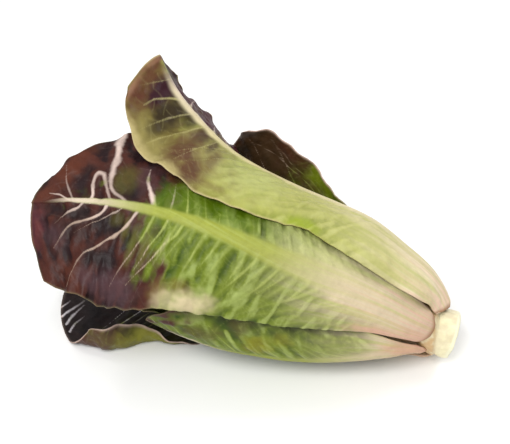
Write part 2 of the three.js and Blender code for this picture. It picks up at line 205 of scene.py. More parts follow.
class LeafForm:
    """The middle surface of one leaf. row runs 0 to 1 up it and span -1 to 1 across it."""

    # Both in mm: how soon a folded half leaves the centre, and how far the foot's corners are drawn in.
    fold_softness = 5.0
    foot_rounding = 2.5

    def __init__(self, leaf, blade_thickness):
        self.leaf = leaf
        self.blade_thickness = blade_thickness
        self.along = column(leaf["rib"], 1)
        self.out = column(leaf["rib"], 2)
        self.round = column(leaf["rib"], 3)
        self.rib_shift = smooth_curve(leaf.get("rib_shift", [(0, 0), (1, 0)]))
        self.sides = {side: self.side_curves(leaf, side) for side in ("low", "high")}
        places = self.rib_point(np.linspace(0, 1, 80))
        self.length = float(np.linalg.norm(np.diff(places, axis=0), axis=1).sum())

    def side_curves(self, leaf, side):
        turn = leaf.get(side + "_turn", [(0, 999, 0), (1, 999, 0)])
        return {
            "width": column(leaf[side], 1),
            "bend": column(leaf[side], 2),
            "turn_at": column(turn, 1),
            "turn_bend": column(turn, 2),
            "fold": smooth_curve(leaf.get(side + "_fold", [(0, 0), (1, 0)])),
        }

    def rib_point(self, share):
        """Places on the leaf's centre line."""
        return place(self.along(share), self.out(share), self.round(share))

    def rib_frame(self, share):
        """Outwards and across at places on the centre line."""
        step = 0.05
        forward = unit(self.rib_point(share + step) - self.rib_point(share - step))
        angle = np.radians(self.round(share))
        outward = np.stack([np.zeros_like(angle), np.sin(angle), np.cos(angle)], axis=-1)
        outward = unit(outward - (outward * forward).sum(-1, keepdims=True) * forward)
        return outward, np.cross(forward, outward)

    def cross_section(self, distance, curves, share):
        """One half of the leaf's section: how far across and how far in towards the heart."""
        bend = curves["bend"](share) / 1000
        first = np.minimum(distance, curves["turn_at"](share))
        across, inward = arc(first, bend)
        on_across, on_inward = arc(distance - first, curves["turn_bend"](share) / 1000)
        heading = bend * first
        x = across + np.cos(heading) * on_across - np.sin(heading) * on_inward
        y = inward + np.sin(heading) * on_across + np.cos(heading) * on_inward
        fold = np.radians(curves["fold"](share)) * distance**2 / (distance**2 + self.fold_softness**2)
        return x * np.cos(fold) - y * np.sin(fold), x * np.sin(fold) + y * np.cos(fold)

    def spread(self, row, span):
        """The share of the leaf's length and its half-width at places, with the rows bowed at the tip."""
        tip_from = self.leaf["tip_from"]
        edge_share = row * tip_from
        share = edge_share + (1 - tip_from) * row**3.4 * (1 - span * span)
        low, high = (self.sides[side]["width"](edge_share) for side in ("low", "high"))
        return share, np.where(span < 0, low, high)

    def surface(self, row, span):
        """Points of the middle surface, the share of the length, mm from the centre and half-width there."""
        share, width = self.spread(row, span)
        distance = np.abs(span) * width
        low = self.cross_section(distance, self.sides["low"], share)
        high = self.cross_section(distance, self.sides["high"], share)
        across = np.where(span < 0, low[0], high[0])
        inward = np.where(span < 0, low[1], high[1])
        height, count, phase = self.leaf["wave"]
        ripple = height * ease((share - 0.3) / 0.4) * np.abs(span) ** 2.5
        ripple = ripple * np.sin(2 * np.pi * (count * share + phase) + 1.5 * span)
        outward, sideways = self.rib_frame(share)
        points = self.rib_point(share) + (np.sign(span) * across)[:, None] * sideways
        points = points + (ripple - inward)[:, None] * outward
        points[:, 0] -= self.foot_rounding * np.abs(span) ** 3 * (1 - ease(row / 0.09))
        points[:, 2] = np.maximum(points[:, 2], self.blade_thickness / 2)
        return points, share, distance, width

    def flat_place(self, row, span):
        """Where a place lies on the leaf laid flat: mm up it and mm to the side of its centre."""
        share, width = self.spread(row, span)
        return share * self.length, span * width

    def outward(self, row, span):
        """The outward direction at places on the middle surface."""
        step = 4e-3
        above, below = np.minimum(row + step, 1), np.maximum(row - step, 0)
        left, right = np.maximum(span - step, -1), np.minimum(span + step, 1)
        up = self.surface(above, span)[0] - self.surface(below, span)[0]
        over = self.surface(row, right)[0] - self.surface(row, left)[0]
        return unit(np.cross(over, up))


# ---------------------------------------------------------------- noise on a leaf laid flat


def scramble(i, j, seed):
    """A repeatable number from 0 to 1 for each cell of a grid."""
    value = np.sin(i * 127.1 + j * 311.7 + seed * 74.7) * 43758.5453
    return value - np.floor(value)


def soft_noise(x, y, size, seed):
    """Smooth noise from -1 to 1 with bumps of about that size."""
    u = x / size
    v = y / size
    i = np.floor(u)
    j = np.floor(v)
    a = ease(u - i)
    b = ease(v - j)
    low = scramble(i, j, seed) * (1 - a) + scramble(i + 1, j, seed) * a
    high = scramble(i, j + 1, seed) * (1 - a) + scramble(i + 1, j + 1, seed) * a
    return (low * (1 - b) + high * b) * 2 - 1


# ---------------------------------------------------------------- veins


class Veins:
    """The veins of one leaf, drawn on the leaf laid flat: (mm up it, mm to the side of its centre)."""

    # The steps are in mm; a drawn vein that comes within the joint (a span) of the centre meets the rib.
    step = 0.9
    fine_step = 0.8
    joint = 0.03

    def __init__(self, form, pattern, seed):
        self.form = form
        self.pattern = pattern
        self.random = np.random.default_rng(seed)
        self.main = []
        self.fine = []
        for path in pattern.get("drawn", ()):
            self.draw(*path)
        for side in (-1, 1):
            self.grow_side(side)

    def rib_place(self, up):
        """How far the rib lies to the side of the leaf's centre, that far up."""
        return self.form.rib_shift(up / self.form.length)

    def half_width(self, up, side):
        share = np.clip(up / self.form.length, 0, self.form.leaf["tip_from"])
        return float(self.form.sides["low" if side < 0 else "high"]["width"](share))

    def draw(self, first_width, last_width, strength, path):
        """A vein through listed places, each given as (row, span)."""
        row, span = np.array(path, float).T
        up, over = self.form.flat_place(row, span)
        over = over + self.rib_place(up) * (np.abs(span) < self.joint)
        gone = np.concatenate([[0], np.cumsum(np.hypot(np.diff(up), np.diff(over)))])
        count = int(gone[-1] / self.step) + 2
        at = np.linspace(0, gone[-1], count)
        ups = smooth_curve(list(zip(gone, up)))(at)
        overs = smooth_curve(list(zip(gone, over)))(at)
        headings = np.arctan2(np.gradient(overs), np.gradient(ups))
        flank = 1
        next_branch = self.pattern["mesh"]
        for i in range(count):
            done = i / (count - 1)
            width = first_width + (last_width - first_width) * done
            self.main.append((ups[i], overs[i], width, strength * (1 - 0.55 * done**2), headings[i]))
            if at[i] > next_branch:
                side = 1 if overs[i] > 0 else -1
                self.branch(ups[i], overs[i], side, headings[i], flank)
                flank = -flank
                next_branch += self.pattern["mesh"] * self.random.uniform(0.5, 0.9)

    def grow_side(self, side):
        """The side veins on one side of the rib, every second one a short one."""
        length = self.form.length
        pattern = self.pattern
        up = length * pattern["from"] + (0.4 if side > 0 else 0.0) * pattern["spacing"]
        number = 0
        while up < length * pattern["until"]:
            share = up / length
            angles = pattern.get("low_angles", pattern["angles"]) if side < 0 else pattern["angles"]
            angle = float(np.interp(share, ANGLE_SHARES, angles))
            angle += self.random.uniform(-4, 4)
            width = pattern["width"] * (1.15 - 0.6 * share) * self.random.uniform(0.8, 1.15)
            reach = 0.97 if number % 2 == 0 else self.random.uniform(0.35, 0.5)
            self.grow(up, side, angle, width, reach)
            up += pattern["spacing"] * self.random.uniform(0.75, 1.25)
            number += 1

    def grow(self, root, side, angle, width, reach):
        """One side vein, from the rib towards the edge, with fine veins off both of its flanks."""
        up = root
        over = side * float(self.rib_place(root))
        turn = self.random.uniform(-10, 6)
        sway = self.random.uniform(0, 6)
        vigour = self.random.uniform(0.35, 1.0)
        next_branch = self.pattern["mesh"] * 0.8
        flank = 1
        travelled = 0.0
        while True:
            progress = over / max(self.half_width(up, side), 1)
            if progress > reach or up > self.form.length * 0.99 or travelled > LONGEST_VEIN:
                break
            thick = width * (1 - 0.8 * min(progress / reach, 1))
            fade = vigour * (1 - 0.8 * ease((progress - self.pattern["bright_to"]) / 0.3))
            heading = math.radians(angle + turn * progress + 5 * math.sin(travelled / 8 + sway))
            self.main.append((up, side * over, max(thick, THINNEST_VEIN), float(fade), side * heading))
            up += self.step * math.cos(heading)
            over += self.step * math.sin(heading)
            travelled += self.step
            if travelled > next_branch:
                self.branch(up, side * over, side, side * heading, flank)
                flank = -flank
                next_branch += self.pattern["mesh"] * self.random.uniform(0.6, 1.0)

    def branch(self, up, over, side, heading, flank):
        """A fine vein that leaves a side vein and dies out before the next one."""
        angle = heading + flank * math.radians(self.random.uniform(45, 75))
        reach = self.pattern["mesh"] * self.random.uniform(0.7, 1.6)
        curl = self.random.uniform(-0.12, 0.12)
        for i in range(int(reach / self.fine_step)):
            up += self.fine_step * math.cos(angle)
            over += self.fine_step * math.sin(angle)
            angle += curl
            past_rib = (over - float(self.rib_place(up))) * side < 0
            if past_rib or abs(over) > self.half_width(up, side) * 0.98:
                break
            fade = 1 - i * self.fine_step / reach
            self.fine.append((up, over, self.pattern["fine_width"] * (0.5 + 0.5 * fade), 1.0, angle))

    def strength(self, marks, up, over):
        """For each place: how many vein widths off the nearest vein is, its strength, and mm to it."""
        marks = np.array(marks)
        tree = KDTree(len(marks))
        for i, mark in enumerate(marks):
            tree.insert((mark[0], mark[1], 0), i)
        tree.balance()
        found = [tree.find((x, y, 0))[1:] for x, y in zip(up.tolist(), over.tolist())]
        nearest = marks[[i for i, _ in found]]
        gap = np.array([distance for _, distance in found])
        mark_up, mark_over, mark_width, mark_strength, heading = nearest.T
        beside = np.abs((up - mark_up) * np.sin(heading) - (over - mark_over) * np.cos(heading))
        gap = np.where(gap < 2 * self.step, np.minimum(gap, beside), gap)
        return np.minimum(gap / mark_width, 4), mark_strength, gap


# ---------------------------------------------------------------- leaf pieces


def thickness(form, share, span, over, rib_thickness):
    """How far the outer and the inner side stand off the middle: most at the foot and the rib."""
    fleshy = form.leaf.get("fleshy", 1.0)
    blade = form.blade_thickness
    base = (BASE_THICKNESS * fleshy - blade) * (1 - ease(share / 0.22))
    thin = blade + (MARGIN_THICKNESS - blade) * np.abs(span) ** 3
    height = (rib_thickness * fleshy - blade) * (0.35 + 0.65 * ease(share / 0.12))
    height = height * (1 - ease((share - 0.1) / 0.9)) ** 0.8
    width = RIB_HALF_WIDTH * fleshy * (1 - 0.75 * share)
    rib = height * np.exp(-(((over - form.rib_shift(share)) / width) ** 2))
    body = thin + base * (1 - np.abs(span) ** 4)
    outside = body / 2 + rib * 0.8
    seated = np.sqrt(ease(share * form.length / 5.0))
    return outside * (0.25 + 0.75 * seated) - 0.7 * (1 - seated), body / 2 + rib * 0.2


def new_sheet(name, rows, columns):
    """A flat grid given two sides and a rim, for a leaf to be shaped from."""
    bpy.ops.object.select_all(action="DESELECT")
    bpy.ops.mesh.primitive_grid_add(x_subdivisions=columns, y_subdivisions=rows, size=1)
    piece = bpy.context.object
    piece.name = name
    piece.data.name = name
    wall = piece.modifiers.new("wall", "SOLIDIFY")
    wall.thickness = 0.001
    wall.offset = -1
    bpy.ops.object.modifier_apply(modifier=wall.name)
    return piece


def read_points(piece):
    """The piece's points, one a row."""
    flat = np.zeros(len(piece.data.vertices) * 3, np.float32)
    piece.data.vertices.foreach_get("co", flat)
    return flat.reshape(-1, 3).astype(float)


def write_points(piece, points):
    """Moves the piece's points to places given in mm."""
    piece.data.vertices.foreach_set("co", (points * 0.001).astype(np.float32).ravel())
    piece.data.update()


def add_field(piece, name, values):
    """Gives each point of a piece a number that its finish reads."""
    field = piece.data.attributes.new(name, "FLOAT", "POINT")
    field.data.foreach_set("value", np.asarray(values, np.float32))


def shape_leaf(leaf, sizes, seed):
    """One leaf as a closed piece, with its veins, puckers and the fields that its finish reads."""
    size = {name: 1000 * getattr(sizes, name) for name in sizes.__annotations__}
    piece = new_sheet(leaf["piece"], *leaf["grid"])
    half = len(piece.data.vertices) // 2
    flat = read_points(piece)[:half]
    form = LeafForm(leaf, size["blade_thickness"])
    row = np.clip(flat[:, 1] + 0.5, 0, 1)
    span = np.sign(flat[:, 0]) * np.abs(np.clip(flat[:, 0] * 2, -1, 1)) ** 1.1
    points, share, distance, width = form.surface(row, span)
    outward = form.outward(row, span)
    up = share * form.length
    over = np.sign(span) * distance
    outside, inside = thickness(form, share, span, over, size["rib_thickness"])

    veins = Veins(form, leaf["veins"], seed)
    vein_off, vein_strength, vein_gap = veins.strength(veins.main, up, over)
    fine_off, _, fine_gap = veins.strength(veins.fine, up, over)
    vein = np.exp(-((vein_gap / VEIN_SPREAD) ** 2)) * vein_strength
    fine = np.exp(-(fine_off**2))
    fleshy_foot = 1 - ease((share - 0.08) / 0.26)
    rib_width = RIB_HALF_WIDTH * np.interp(share, RIB_SHARES, leaf["rib_widths"])
    from_rib = over - form.rib_shift(share)
    rib_near = np.exp(-((from_rib / rib_width) ** 2))
    blade = (1 - 0.9 * fleshy_foot) * (1 - rib_near)
    hollow = 1 - np.exp(-((vein_gap / (2.6 + 2.4 * share)) ** 2))
    between_fine = 1 - np.exp(-((fine_gap / FINE_VEIN_SPREAD) ** 2))
    pucker = between_fine * (0.6 + 0.4 * soft_noise(up, over, PUCKER_PATCH, seed)) * hollow
    lean = np.interp(share, ANGLE_SHARES, leaf["veins"]["angles"])
    low_lean = np.interp(share, ANGLE_SHARES, leaf.get("low_blisters", leaf["veins"]["angles"]))
    lean = np.radians(np.where(from_rib < 0, low_lean, lean))
    with_vein = up * np.cos(lean) + np.abs(from_rib) * np.sin(lean)
    across_vein = up * np.sin(lean) - np.abs(from_rib) * np.cos(lean)
    apart = 40 * (from_rib > 0)
    ribbing = soft_noise(with_vein / BLISTER_STRETCH, across_vein + apart, BLISTER_WIDTH, seed + 12)
    small_ribbing = soft_noise(with_vein / 2, across_vein, SMALL_BLISTER_WIDTH, seed + 13)
    ribbing = np.clip(1.25 * ribbing + 0.35 * small_ribbing, -1, 1)
    small_buckle = soft_noise(up, over, SMALL_BUCKLE_WIDTH, seed + 4)
    buckle = soft_noise(up, over, BUCKLE_WIDTH, seed + 3) + 0.5 * small_buckle
    buckle = buckle * ease((share - 0.25) / 0.4) * (0.3 + 0.7 * np.abs(span))
    crinkle = soft_noise(up, over, CRINKLE_WIDTH, seed + 5) * ease((share - 0.3) / 0.3)
    drift = 2.4 * soft_noise(up, over, FRILL_DRIFT, seed + 9)
    frill = np.sin(2 * np.pi * up / FRILL_LENGTH + drift) * np.abs(span) ** 7
    frill = frill * ease((share - 0.35) / 0.3)

    relief = leaf["relief"]
    lift = relief * (
        blade * (size["pucker_height"] * pucker - size["hollow_depth"] * hollow)
        + blade * size["blister_height"] * ribbing
        + size["buckle_height"] * buckle * (1 - 0.7 * rib_near)
        + size["crinkle_height"] * crinkle * blade
        + size["frill_height"] * frill
    )
    ridge = size["vein_height"] * relief * (vein + 0.35 * fine) * (1 - rib_near)
    groove = GROOVE_DEPTH * soft_noise(up / 9, over, GROOVE_WIDTH, seed + 6) * fleshy_foot
    middle = points + lift[:, None] * outward
    middle[:, 2] = np.maximum(middle[:, 2], form.blade_thickness / 2)
    outer = middle + (outside + ridge + groove)[:, None] * outward
    inner = middle - inside[:, None] * outward
    outer[:, 2] = np.maximum(outer[:, 2], 0.0)
    inner[:, 2] = np.maximum(inner[:, 2], 0.3)
    write_points(piece, np.concatenate([outer, inner]))

    edge_gap = np.minimum(width * (1 - np.abs(span)), form.length * 0.9 * (1 - row))
    clouds = soft_noise(up, over, CLOUD_WIDTH, seed + 21)
    red, pale, margin = blade_fields(leaf, share, span, edge_gap, clouds)
    fields = {
        "up": share,
        "over": span,
        "rib_near": rib_near,
        "vein_off": vein_off,
        "vein_strength": vein_strength,
        "fine": fine,
        "ribbing": ribbing,
        "hollow": hollow * blade,
        "pucker": pucker * blade,
        "red": red,
        "pale": pale,
        "margin": margin,
    }
    for i, (_, spots) in enumerate(leaf.get("layers", ())):
        small_rags = soft_noise(up, over, SMALL_RAG_WIDTH, seed + 31 + i)
        ragged = soft_noise(up, over, RAG_WIDTH, seed + 30 + i) + 0.7 * small_rags + 0.2 * ribbing
        fields[f"layer_{i}"] = soft_spots(spots, row, span, ragged * leaf.get("ragged", 0.3))
    for name, values in fields.items():
        add_field(piece, name, np.concatenate([values, values]))
    add_field(piece, "inside", np.concatenate([np.zeros(half), np.ones(half)]))
    finish_piece(piece, leaf["node"])
    return piece


def finish_piece(piece, node):
    """Smooths the shading of a leaf and tells the frame what it stands for."""
    bpy.ops.object.select_all(action="DESELECT")
    piece.select_set(True)
    bpy.context.view_layer.objects.active = piece
    bpy.ops.object.shade_smooth()
    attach(piece, "root")
    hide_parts(node)


def inner_leaf(number):
    """A leaf of the heart: each follows a shell round the centre line, inside the one before."""
    turns = 0 if number == 0 else number + 1
    start = 17 + 2.4 * number
    end = 222 - 7.5 * number
    shell = (0.83 if number == 0 else 0.8) - 0.047 * number
    half_width = 54 - 2.4 * number
    narrowing = 0.09 + 0.012 * number
    lean = 0.03 * math.sin(2.1 * number)
    shares = np.array([0, 0.04, 0.09, 0.15, 0.22, 0.3, 0.42, 0.56, 0.7, 0.84, 1])
    along = start + (end - start) * shares
    settled = ease((along - start) / 34)
    on_stem = stem_radius(start) + STEM_CLEARANCE
    closing = 1 - (narrowing + lean) * ease((shares - 0.5) / 0.5)
    outs = ((1 - settled) * on_stem + settled * shell * shell_radius(along)) * closing
    angle = 92.5 + SPIRAL_STEP * turns
    rib = [(share, at, out, angle) for share, at, out in zip(shares, along, outs)]
    out = column(rib, 2)
    side = []
    for share, width in INNER_OUTLINE:
        bend = (0.93 + 0.07 * float(ease(share / 0.3))) * 1000 / float(out(share))
        side.append((share, min(half_width * width, 2.6 * float(out(share))), bend))
    if number == 0:
        grid = (120, 90)
    else:
        grid = (100, 80) if number < 3 else (60, 48)
    return {
        "node": f"inner_leaf_{number + 1:02d}",
        "piece": f"heart_leaf_{number + 1:02d}",
        "slot": "green_leaf" if number < GREEN_INNER_LEAVES else "heart_leaf",
        "rib": rib,
        "low": side,
        "high": side,
        "tip_from": 0.9,
        "wave": (2.0 if number == 0 else 1.2, 5, 0.27 * number),
        "fleshy": 0.75 if number < 2 else 0.6 - 0.012 * number,
        "grid": grid,
        "relief": 0.8 if number < 3 else 0.45,
        "veins": HEART_VEINS,
    }


# ---------------------------------------------------------------- finishes


def shade(red, green, blue):
    """A colour given as it looks on a screen, 0 to 255, turned into the light it stands for."""
    parts = []
    for part in (red, green, blue):
        value = part / 255
        parts.append(value / 12.92 if value <= 0.04045 else ((value + 0.055) / 1.055) ** 2.4)
    return tuple(parts)


class Value:
    """A number that varies over a surface. Expressions on it add Math nodes."""

    def __init__(self, paint, socket):
        self.paint = paint
        self.socket = socket

    def maths(self, operation, first, second):
        return self.paint.node("ShaderNodeMath", {"operation": operation}, {0: first, 1: second})

    def __add__(self, other):
        return self.maths("ADD", self, other)

    __radd__ = __add__

    def __sub__(self, other):
        return self.maths("SUBTRACT", self, other)

    def __rsub__(self, other):
        return self.maths("SUBTRACT", other, self)

    def __mul__(self, other):
        return self.maths("MULTIPLY", self, other)

    __rmul__ = __mul__

    def __pow__(self, other):
        return self.maths("POWER", self, other)

    def within(self):
        """The number held between 0 and 1."""
        return self.paint.node("ShaderNodeClamp", {}, {0: self})

    def rise(self, low, high):
        """0 below low, 1 above high and a soft step between them."""
        settings = {"interpolation_type": "SMOOTHSTEP"}
        return self.paint.node("ShaderNodeMapRange", settings, {0: self, 1: low, 2: high, 3: 0.0, 4: 1.0})


class Paint:
    """One material, made from its nodes."""

    def __init__(self, name):
        self.material = bpy.data.materials.new(name)
        self.material.use_nodes = True
        self.tree = self.material.node_tree
        self.tree.nodes.clear()

    def node(self, kind, settings, sockets, output=0):
        """A node of that type: its settings first, then the values or links of its sockets."""
        made = self.tree.nodes.new(kind)
        for name, value in settings.items():
            setattr(made, name, value)
        for key, value in sockets.items():
            if isinstance(value, Value):
                self.tree.links.new(value.socket, made.inputs[key])
            else:
                made.inputs[key].default_value = value
        return Value(self, made.outputs[output]) if made.outputs else None

    def field(self, name):
        return self.node("ShaderNodeAttribute", {"attribute_name": name}, {}, "Fac")

    def place(self):
        return self.node("ShaderNodeTexCoord", {}, {}, "Object")

    def vector(self, x, y, z=0.0):
        return self.node("ShaderNodeCombineXYZ", {}, {0: x, 1: y, 2: z})

    def noise(self, where, scale, detail=2.0, roughness=0.5):
        sockets = {"Vector": where, "Scale": scale, "Detail": detail, "Roughness": roughness}
        return self.node("ShaderNodeTexNoise", {}, sockets, "Fac")

    def blend(self, amount, first, second, kind="MIX"):
        """One colour over another, by the amount of the second."""
        first = (*first, 1.0) if isinstance(first, tuple) else first
        second = (*second, 1.0) if isinstance(second, tuple) else second
        settings = {"data_type": "RGBA", "blend_type": kind}
        return self.node("ShaderNodeMix", settings, {0: amount, 6: first, 7: second}, 2)

    def brighten(self, colour, amount):
        """A colour made lighter or darker by a number round 1."""
        return self.blend(1.0, colour, self.vector(amount, amount, amount), "MULTIPLY")

    def bump(self, height, strength, distance):
        return self.node("ShaderNodeBump", {}, {"Strength": strength, "Distance": distance, "Height": height})

    def surface(self, sockets):
        shader = self.node("ShaderNodeBsdfPrincipled", {}, sockets)
        self.node("ShaderNodeOutputMaterial", {}, {"Surface": shader})
        return self.material


def leaf_finish(name, tones, layers):
    """The skin of a leaf: green or red blade, paler veins and rib, and a cream and pink foot."""
    paint = Paint(name)
    where = paint.place()
    up, over, rib_near, fine, hollow = map(paint.field, ("up", "over", "rib_near", "fine", "hollow"))
    pucker, ribbing, red, foot_amount = map(paint.field, ("pucker", "ribbing", "red", "pale"))
    margin, inside = map(paint.field, ("margin", "inside"))
    cloud = paint.noise(where, 38.0, 3.0, 0.6)
    speck = paint.noise(where, 240.0, 3.0, 0.65)
    grain = paint.noise(where, 900.0, 2.0, 0.6)
    streak = paint.noise(paint.vector(over * 18.0, up * 3.0), 1.0, 5.0, 0.62)
    broad_streak = paint.noise(paint.vector(over * 7.0, up * 2.5), 1.0, 2.0, 0.5)
    blotch = (ribbing * 0.5 + 0.5) + (speck - 0.5) * 0.5
    swelling = paint.noise(where, 130.0, 2.0, 0.5)
    vein_off = paint.field("vein_off") * (1.9 - 1.8 * swelling) + (speck - 0.5) * 0.8
    uneven = 0.45 + 0.4 * cloud.rise(0.3, 0.6) + 0.3 * speck
    vein = ((1 - vein_off.rise(0.15, 1.2)) * paint.field("vein_strength") * uneven).within()

    # Painted shade and highlight: the hollows between the veins are painted darker and the raised blisters
    # and puckers paler, on top of the shading that the relief itself gets.
    hollow_shade = (hollow * (1 - blotch.rise(0.3, 0.66)) * tones["hollow_shade_amount"]).within()
    pucker_highlight = (blotch.rise(0.5, 0.95) * (0.4 + 0.6 * pucker) * tones["pucker_highlight_amount"]).within()
    blade = paint.blend(hollow_shade, tones["green"], tones["dark"])
    blade = paint.blend(pucker_highlight, blade, tones["light"])
    edge_of_red = (red + (cloud - 0.5) * 0.9 + (blotch - 0.5) * 0.5).rise(0.3, 0.7)
    edge_of_red = edge_of_red * red.rise(0.02, 0.2)
    red_blade = paint.blend(hollow_shade, tones["red"], tones["dark_red"])
    red_blade = paint.blend((pucker_highlight * 0.5).within(), red_blade, tones["bright_red"])
    blade = paint.blend(edge_of_red, blade, red_blade)
    spots = [(paint.field(f"layer_{i}") * (0.5 + cloud)).within() for i in range(len(layers))]
    for spot, (colour, _) in zip(spots, layers):
        blade = paint.blend(spot, blade, colour)
    vein_colour = paint.blend(edge_of_red, tones["vein"], tones["red_vein_and_glint"])
    low_side = (1 - over.rise(-0.25, 0.0)) * edge_of_red
    vein_colour = paint.blend(low_side * 0.5, vein_colour, tones["low_vein"])
    fine_amount = fine * tones["fine_amount"] * (1 - 0.75 * edge_of_red)
    vein_amount = (vein * (0.72 + 0.26 * edge_of_red) + fine_amount).within()
    blade = paint.blend(vein_amount, blade, vein_colour)
    rib_colour = paint.blend(up.rise(0.12, 0.42), tones["foot"], tones["rib"])
    rib_colour = paint.blend(up.rise(0.64, 0.9) * 0.85, rib_colour, tones["red_vein_and_glint"])
    rib_colour = paint.blend(streak.rise(0.4, 0.7) * 0.35, rib_colour, tones["light"])
    rib_side = (1 - rib_near.rise(0.4, 0.85)) * up.rise(0.3, 0.5) * 0.3
    rib_colour = paint.blend(rib_side, rib_colour, tones["green"])
    fading_rib = rib_near.rise(0.15, 0.6) * (1 - up.rise(0.85, 0.97))
    blade = paint.blend(fading_rib, blade, rib_colour)
    foot = paint.blend(broad_streak.rise(0.42, 0.62) * 0.6, tones["foot"], tones["green_foot"])
    pink = streak.rise(0.45, 0.66) * (1 - up.rise(0.06, 0.32)) * 0.8 + (1 - up.rise(0.0, 0.12)) * 0.45
    foot = paint.blend((pink * tones["pink_amount"]).within(), foot, tones["pink"])
    blade = paint.blend(foot_amount, blade, foot)
    for spot, (colour, ovals) in zip(spots, layers):
        if ovals[0][0] < FOOT_ROWS:
            blade = paint.blend(spot, blade, colour)
    blade = paint.blend(margin * tones["margin_amount"] * up.rise(0.3, 0.6), blade, tones["margin"])
    inner_amount = inside * (1 - foot_amount) * (1 - vein) * tones["inner_amount"]
    blade = paint.blend(inner_amount, blade, tones["inner"])
    blade = paint.blend((1 - up.rise(0.0, 0.022)) * (1 - inside) * 0.8, blade, tones["scar"])
    blade = paint.brighten(blade, 0.72 + speck * 0.28 + foot_amount * 0.06)

    relief = grain * 0.4 + speck + streak * foot_amount * 1.6
    return paint.surface({
        "Base Color": blade,
        "Roughness": 0.38 + 0.2 * speck + 0.1 * foot_amount,
        "Normal": paint.bump(relief, 0.4, 0.0007),
        "Specular IOR Level": 0.16,
    })


def stem_finish(name, tones):
    """Knife-trimmed butt: cream flesh, fibrous along its length, with a greyer ring on the cut face."""
    paint = Paint(name)
    where = paint.place()
    apart = paint.node("ShaderNodeSeparateXYZ", {}, {0: where}).socket.node
    x, y, z = (Value(paint, socket) for socket in apart.outputs)
    middle = CENTRE_HEIGHTS[0][1] / 1000
    top = middle + STEM_RADII[0][1] / 1000
    from_centre = ((y - CENTRE_Y / 1000) ** 2.0 + (z - middle) ** 2.0) ** 0.5
    fibre = paint.noise(paint.vector(x * 60.0, y * 600.0, z * 600.0), 1.0, 3.0, 0.6)
    cloud = paint.noise(where, 120.0, 3.0, 0.55)
    grain = paint.noise(where, 1400.0, 2.0, 0.6)
    leaning = x + (top - z) * math.tan(math.radians(END_CUT_TILT))
    cut_face = leaning.rise(0.1150, 0.1166)
    ring = (from_centre + (cloud - 0.5) * 0.003).rise(0.0072, 0.0092)
    ring = ring * (1 - from_centre.rise(0.0104, 0.0118))
    flesh = paint.blend(cloud.rise(0.35, 0.68), tones["flesh"], tones["pale_flesh"])
    flesh = paint.blend(fibre.rise(0.5, 0.75) * 0.45, flesh, tones["fibre"])
    stub_end = (1 - x.rise(0.1035, 0.107)) * cloud.rise(0.36, 0.56) * 0.75
    flesh = paint.blend(stub_end, flesh, tones["scar"])
    face = paint.blend(ring * 0.7, tones["cut"], tones["ring"])
    return paint.surface({
        "Base Color": paint.blend(cut_face, flesh, face),
        "Roughness": 0.42 + 0.2 * cloud,
        "Normal": paint.bump(fibre + grain * 0.4 + cloud, 0.5, 0.0007),
        "Coat Weight": 0.12,
        "Coat Roughness": 0.3,
    })


def floor_finish(name):
    """A pale studio floor, faintly uneven in tone."""
    paint = Paint(name)
    cloud = paint.noise(paint.place(), 2.0)
    colour = paint.blend(cloud, shade(238, 238, 237), shade(243, 243, 242))
    return paint.surface({"Base Color": colour, "Roughness": 0.6})


# ---------------------------------------------------------------- how each leaf is dressed

